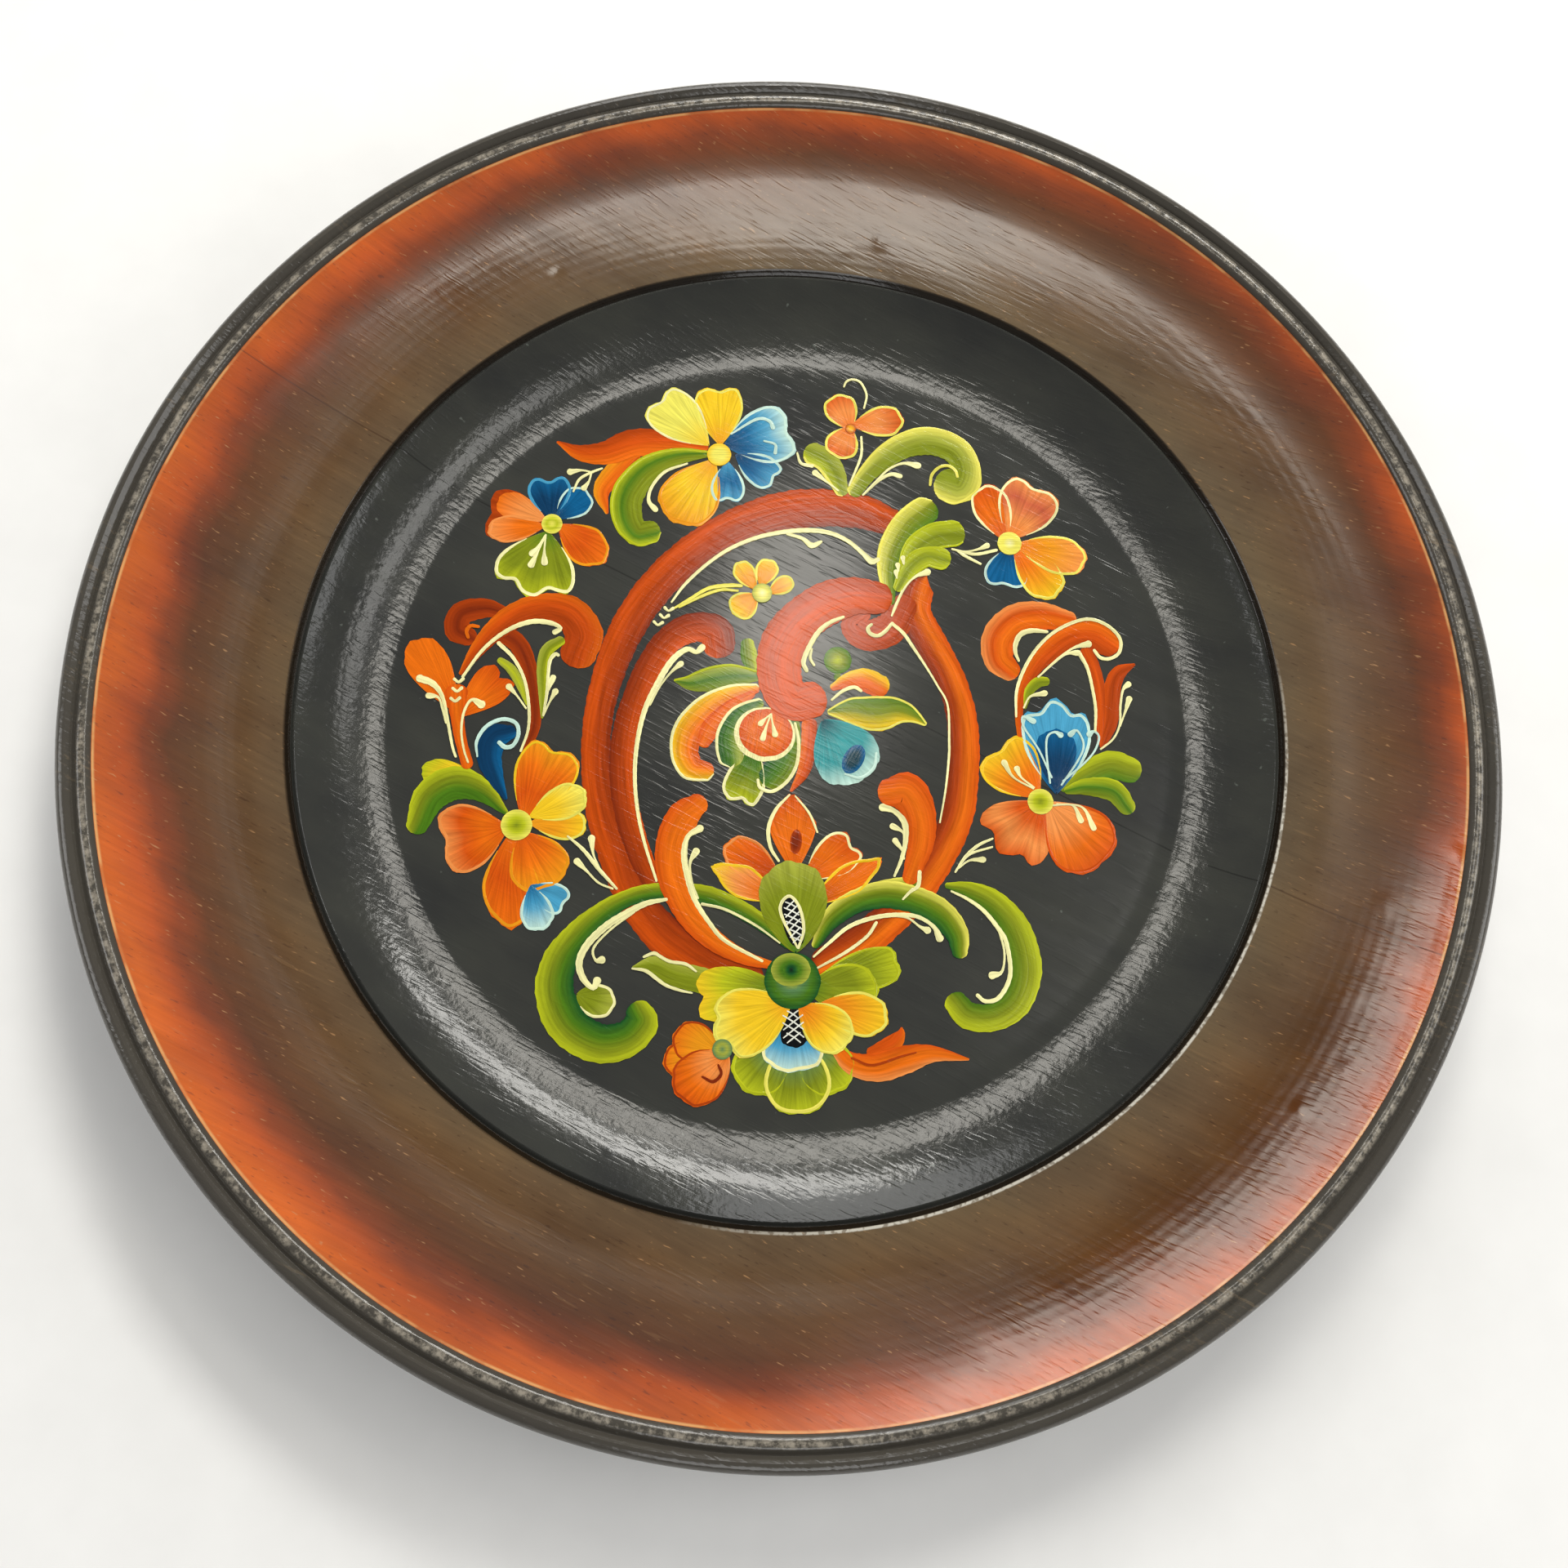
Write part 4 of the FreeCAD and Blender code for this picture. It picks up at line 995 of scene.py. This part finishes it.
m = Motif("right_scroll", "rust_paint")
m.scroll("redorange orange redorange peach", [(75, 29, 5.5), (68, 30.2, 8), (61, 29, 9), (56, 24, 9),
    (55.8, 18, 8.5), (58.5, 14.8, 6)], 2)
m.line([(69, 25.7, .8), (65, 26, 1.3), (62, 25, 1.4), (60.5, 22.5, 1.3), (60.2, 20, 1), (61, 17.5, .6)])
m.scroll("orange redorange rust", [(60.3, -3, 1.5), (60.3, 3, 2.2), (61.5, 9, 3), (64.5, 15, 4.2),
    (69.5, 20.5, 6), (75.5, 24.6, 7), (81.5, 25, 8), (85.5, 22.5, 7.5)], 4)
m.line([(59.5, 2, .5), (60, 9, .8), (62.5, 15.5, .9), (66.5, 21.5, .9), (72, 26.3, .9), (79.5, 29.3, .9),
    (85, 27.9, .9), (88.6, 24, .9), (88.2, 20, .9), (85.5, 18.2, .9), (83, 18.5, .9), (81.5, 20.5, .8)])
m.head((67.5, 14.5), (72, 18.5), (76, 21.2), (80, 22.3), size=1.9)
m.head((66, 13), (70.5, 17), (74, 19.5), (77, 19.8), size=1.7)
m.scroll("rust redorange rust", [(79.5, 20, 4), (81.5, 14, 3.5), (82.3, 8, 3.2), (82, 1, 3),
    (81.5, -5, 1.5)], 3)
m.line([(77.5, 19.5, 1.1), (79.3, 15.5, .9), (80.3, 10, .8), (80.8, 4, .8), (80.3, -2, .6)])
m.scroll("redorange rust rust", [(82, -6, 1.5), (84.3, 0, 4), (85.2, 6, 4.3), (86, 11, 4.5),
    (88, 14.5, 3.8), (92, 16.6, .8)], 3)
m.head((81.5, -6.8), (85, -4), (87, 0), (87.5, 5), (88.5, 9.5), (90, 11), size=1.7)
m.head((87, -.5), (88.5, 3), (90, 7), size=1.6)
m.scroll("lime olive olive", [(62, 4.5, .8), (63.3, 9, 2.5), (65.8, 11.5, 3), (68, 11.8, 2.4)], 5)
m.head((61.7, 4.5), (63.5, 7.5), (67.5, 8.5), size=1.6)
m.petal("deepblue blue sky sky", (69, -19), (70.5, 7), 19.5, 3, 4, ("pale", .8), depth=.12)
m.petal("deepblue deepblue blue", (69, -18), (70, -1.5), 11.5, 1, 5)
for points in (((67.5, -16), (67, -8), (67.5, -3.5), (69.5, -2.2), (71, -3)), ((70.5, -16.5), (75.5, -9.5),
    (77, -5.5), (75.5, -1.8), (73.7, -2.8)), ((68, -14.5), (65, -7), (61.5, -1), (61.3, 2), (64, .8)),
    ((71, -15.5), (77, -10.5), (80, -7), (81.2, -3.5), (80, -2), (78.7, -2.8))):
    m.head(*points, name="pale", size=1.6)

m = Motif("upper_right_flower", "orange_paint")
m.petal("redorange orange redorange", (59.5, 51.5), (53.5, 68), 11, 1, 4, ("cream", .7))
m.petal("orange peach pinkrust peach", (60, 52), (69.5, 69.5), 17.5, 2, 4, ("cream", .7))
m.petal("orange amber peach", (61.5, 50.8), (81, 45.8), 11.5, 1, 5, ("lemon", .7))
m.petal("orange orange amber yellow", (61.3, 50.5), (72.5, 36), 12, 1, 4, ("lemon", .7))
m.petal("deepblue blue blue", (60, 50), (58.2, 37.5), 12.5, 2, 3, ("pale", .7))
m.head((44.5, 49.2), (48, 48.5), (51.5, 49.2), (54, 50.3), size=1.6)
m.line([(44.5, 49.2, .5), (50.5, 47.8, .8), (56.5, 49, .8)])
m.line([(46, 48.6, .5), (48, 47.2, .8), (52, 45, .6)])
m.disc("cream lemon lemon", (60.2, 51), 6.6)

m = Motif("crest_scroll", "green_paint")
m.scroll("lime olive lightolive", [(15, 66, 3.5), (13.5, 70.5, 5.5), (11, 75, 6.5), (7.5, 77, 6.5)], 4,
    edge=("left", "lemon", .8))
m.line([(3, 77, .5), (4, 74, .8), (7, 73.2, 1)])
m.head((14, 66), (11, 68.5), (7.8, 71.2), size=1.7)
m.scroll("lemon lightolive olive olive", [(18.5, 66, 4), (22, 71, 5), (27.5, 76.5, 6.5), (33.5, 80, 7.5),
    (40, 81, 8.2), (46.5, 78.5, 8.2), (49.3, 73, 8), (47.5, 67.5, 9.5), (44.5, 68, 10)], 5,
    edge=("left", "lemon", .7))
m.line([(39.2, 68, .7), (39.8, 71, .8), (42, 73.3, .8), (44.5, 73.7, .8), (46.3, 72.3, .8),
    (46.8, 70.5, .7)], "lemon")
m.head((20.7, 64.8), (24.5, 69), (28, 72.5), (32, 74.3), (36, 73.7))
m.line([(21, 65, .5), (25, 69, .8), (28.5, 71, 1), (31, 70.5, 1.4)])

m = Motif("crest_blossom", "orange_paint")
for base, tip, width in (((18, 84), (13.5, 94.5), 9.5), ((18, 85.5), (32.5, 87.8), 9.5), ((18, 85.5),
    (13.5, 76), 9.5)):
    m.petal("orange peach redorange", base, tip, width, layer=6, edge=("lemon", .7))
m.line([(20.7, 82, .6), (20.7, 78, .7), (20, 74.8, .7), (17, 67.5, .5)])
m.line([(21.7, 90.8, .5), (22.5, 94.5, .6), (21.7, 97.3, .6), (20.5, 99, .6), (18.5, 99.5, .6),
    (17, 98.8, .6), (16.3, 97.3, .5)])
m.disc("yellow amber rust", (17.8, 84.5), 3)

m = Motif("lobed_leaf", "green_paint")
m.scroll("lemon olive green", [(27.5, 34, 2), (27, 42, 5), (28.5, 49, 7.5), (32.5, 56, 8.5),
    (37.5, 60.5, 8)], 6, edge=("left", "lemon", .9))
m.scroll("lime olive olive", [(31, 42, 3), (34.5, 49, 6.5), (39.5, 52.8, 7.5), (45, 53.8, 7.5)], 7,
    edge=("both", "lime", .7))
m.scroll("lime olive lime", [(29.5, 38, 2.5), (33, 44, 5), (37.5, 47, 5.5), (41.5, 46.3, 6)], 8,
    edge=("both", "lime", .7))
for x, y in ((31, 46.5), (29.5, 44.5), (29, 42.5)):
    m.line([(x + .2, y - 1.8, .4), (x, y, 1.3)], layer=11)
m.head((28, 31), (31, 37.5), (34, 41), (37.5, 42.5), layer=11)
m.line([(30.5, 37, .6), (28.5, 32.5, .8), (27.5, 30, .5)], layer=11)

for motif in Motif.painted:
    motif.build()

# ---------------------------------------------------------------- studio, in metres

stage = bpy.data.meshes.new("floor")
stage.from_pydata([(-4, -4, 0), (4, -4, 0), (4, 4, 0), (-4, 4, 0)], [], [(0, 1, 2, 3)])
paper = Shader("paper")
grain = paper.noise(paper.place((0.05, 0.05, 0.05)), 3.0)
shade = paper.ramp(grain, (0.3, (0.81, 0.81, 0.80)), (0.7, (0.84, 0.84, 0.83)))
stage.materials.append(paper.finish(shade, 0.9, grain, 0.05, 0.2))
ground = bpy.data.objects.new("floor", stage)
bpy.context.scene.collection.objects.link(ground)


def soft_light(name, position, size, power, colour=(1, 1, 1), along=(1, 0, 0)):
    """A rectangular light that faces the plate, its long side lying the given way."""
    light = bpy.data.lights.new(name, "AREA")
    light.shape, light.energy, light.color = "RECTANGLE", power, colour
    light.size, light.size_y = size
    z = Vector(position).normalized()
    y = z.cross(Vector(along)).normalized()
    lamp = bpy.data.objects.new(name, light)
    lamp.matrix_world = Matrix.Translation(position) @ Matrix((y.cross(z), y, z)).transposed().to_4x4()
    bpy.context.scene.collection.objects.link(lamp)


soft_light("window", (0.38, 1.27, 1.2), (1.05, 0.28), 20.0, (1.0, 0.98, 0.93), (0.68, -0.73, 0))
soft_light("lamp_right", (0.60, 0.12, 1.3), (0.70, 0.20), 3.0, (1.0, 0.98, 0.94), (0.4, 0.65, 0))
soft_light("lamp_near", (0.030, 0.187, 0.45), (0.078, 0.13), 0.40, (1.0, 0.96, 0.88))
for name, x, y in (("right", 1.3, 0.0), ("left", -1.3, 0.0), ("front", 0.0, -1.3), ("back", 0.0, 1.45)):
    soft_light(name, (x, y, 0.6), (0.6, 0.6), 4.8)

world = bpy.data.worlds.new("studio")
bpy.context.scene.world = world
world.use_nodes = True
sky = world.node_tree.nodes["Background"]
sky.inputs["Color"].default_value = (1.0, 0.98, 0.95, 1)
sky.inputs["Strength"].default_value = 0.26
bpy.context.scene.view_settings.view_transform = "Standard"

camera = bpy.data.cameras.new("camera")
camera.sensor_width, camera.lens = 36, 35.5
eye = bpy.data.objects.new("camera", camera)
eye_place = (-0.0234, -0.1153, 0.395)
right, up, back = (0.99854, -0.01343, 0.0523), (0.0, 0.96861, 0.2487), (-0.0540, -0.24834, 0.9672)
eye.matrix_world = Matrix.Translation(eye_place) @ Matrix((right, up, back)).transposed().to_4x4()
bpy.context.scene.collection.objects.link(eye)
bpy.context.scene.camera = eye
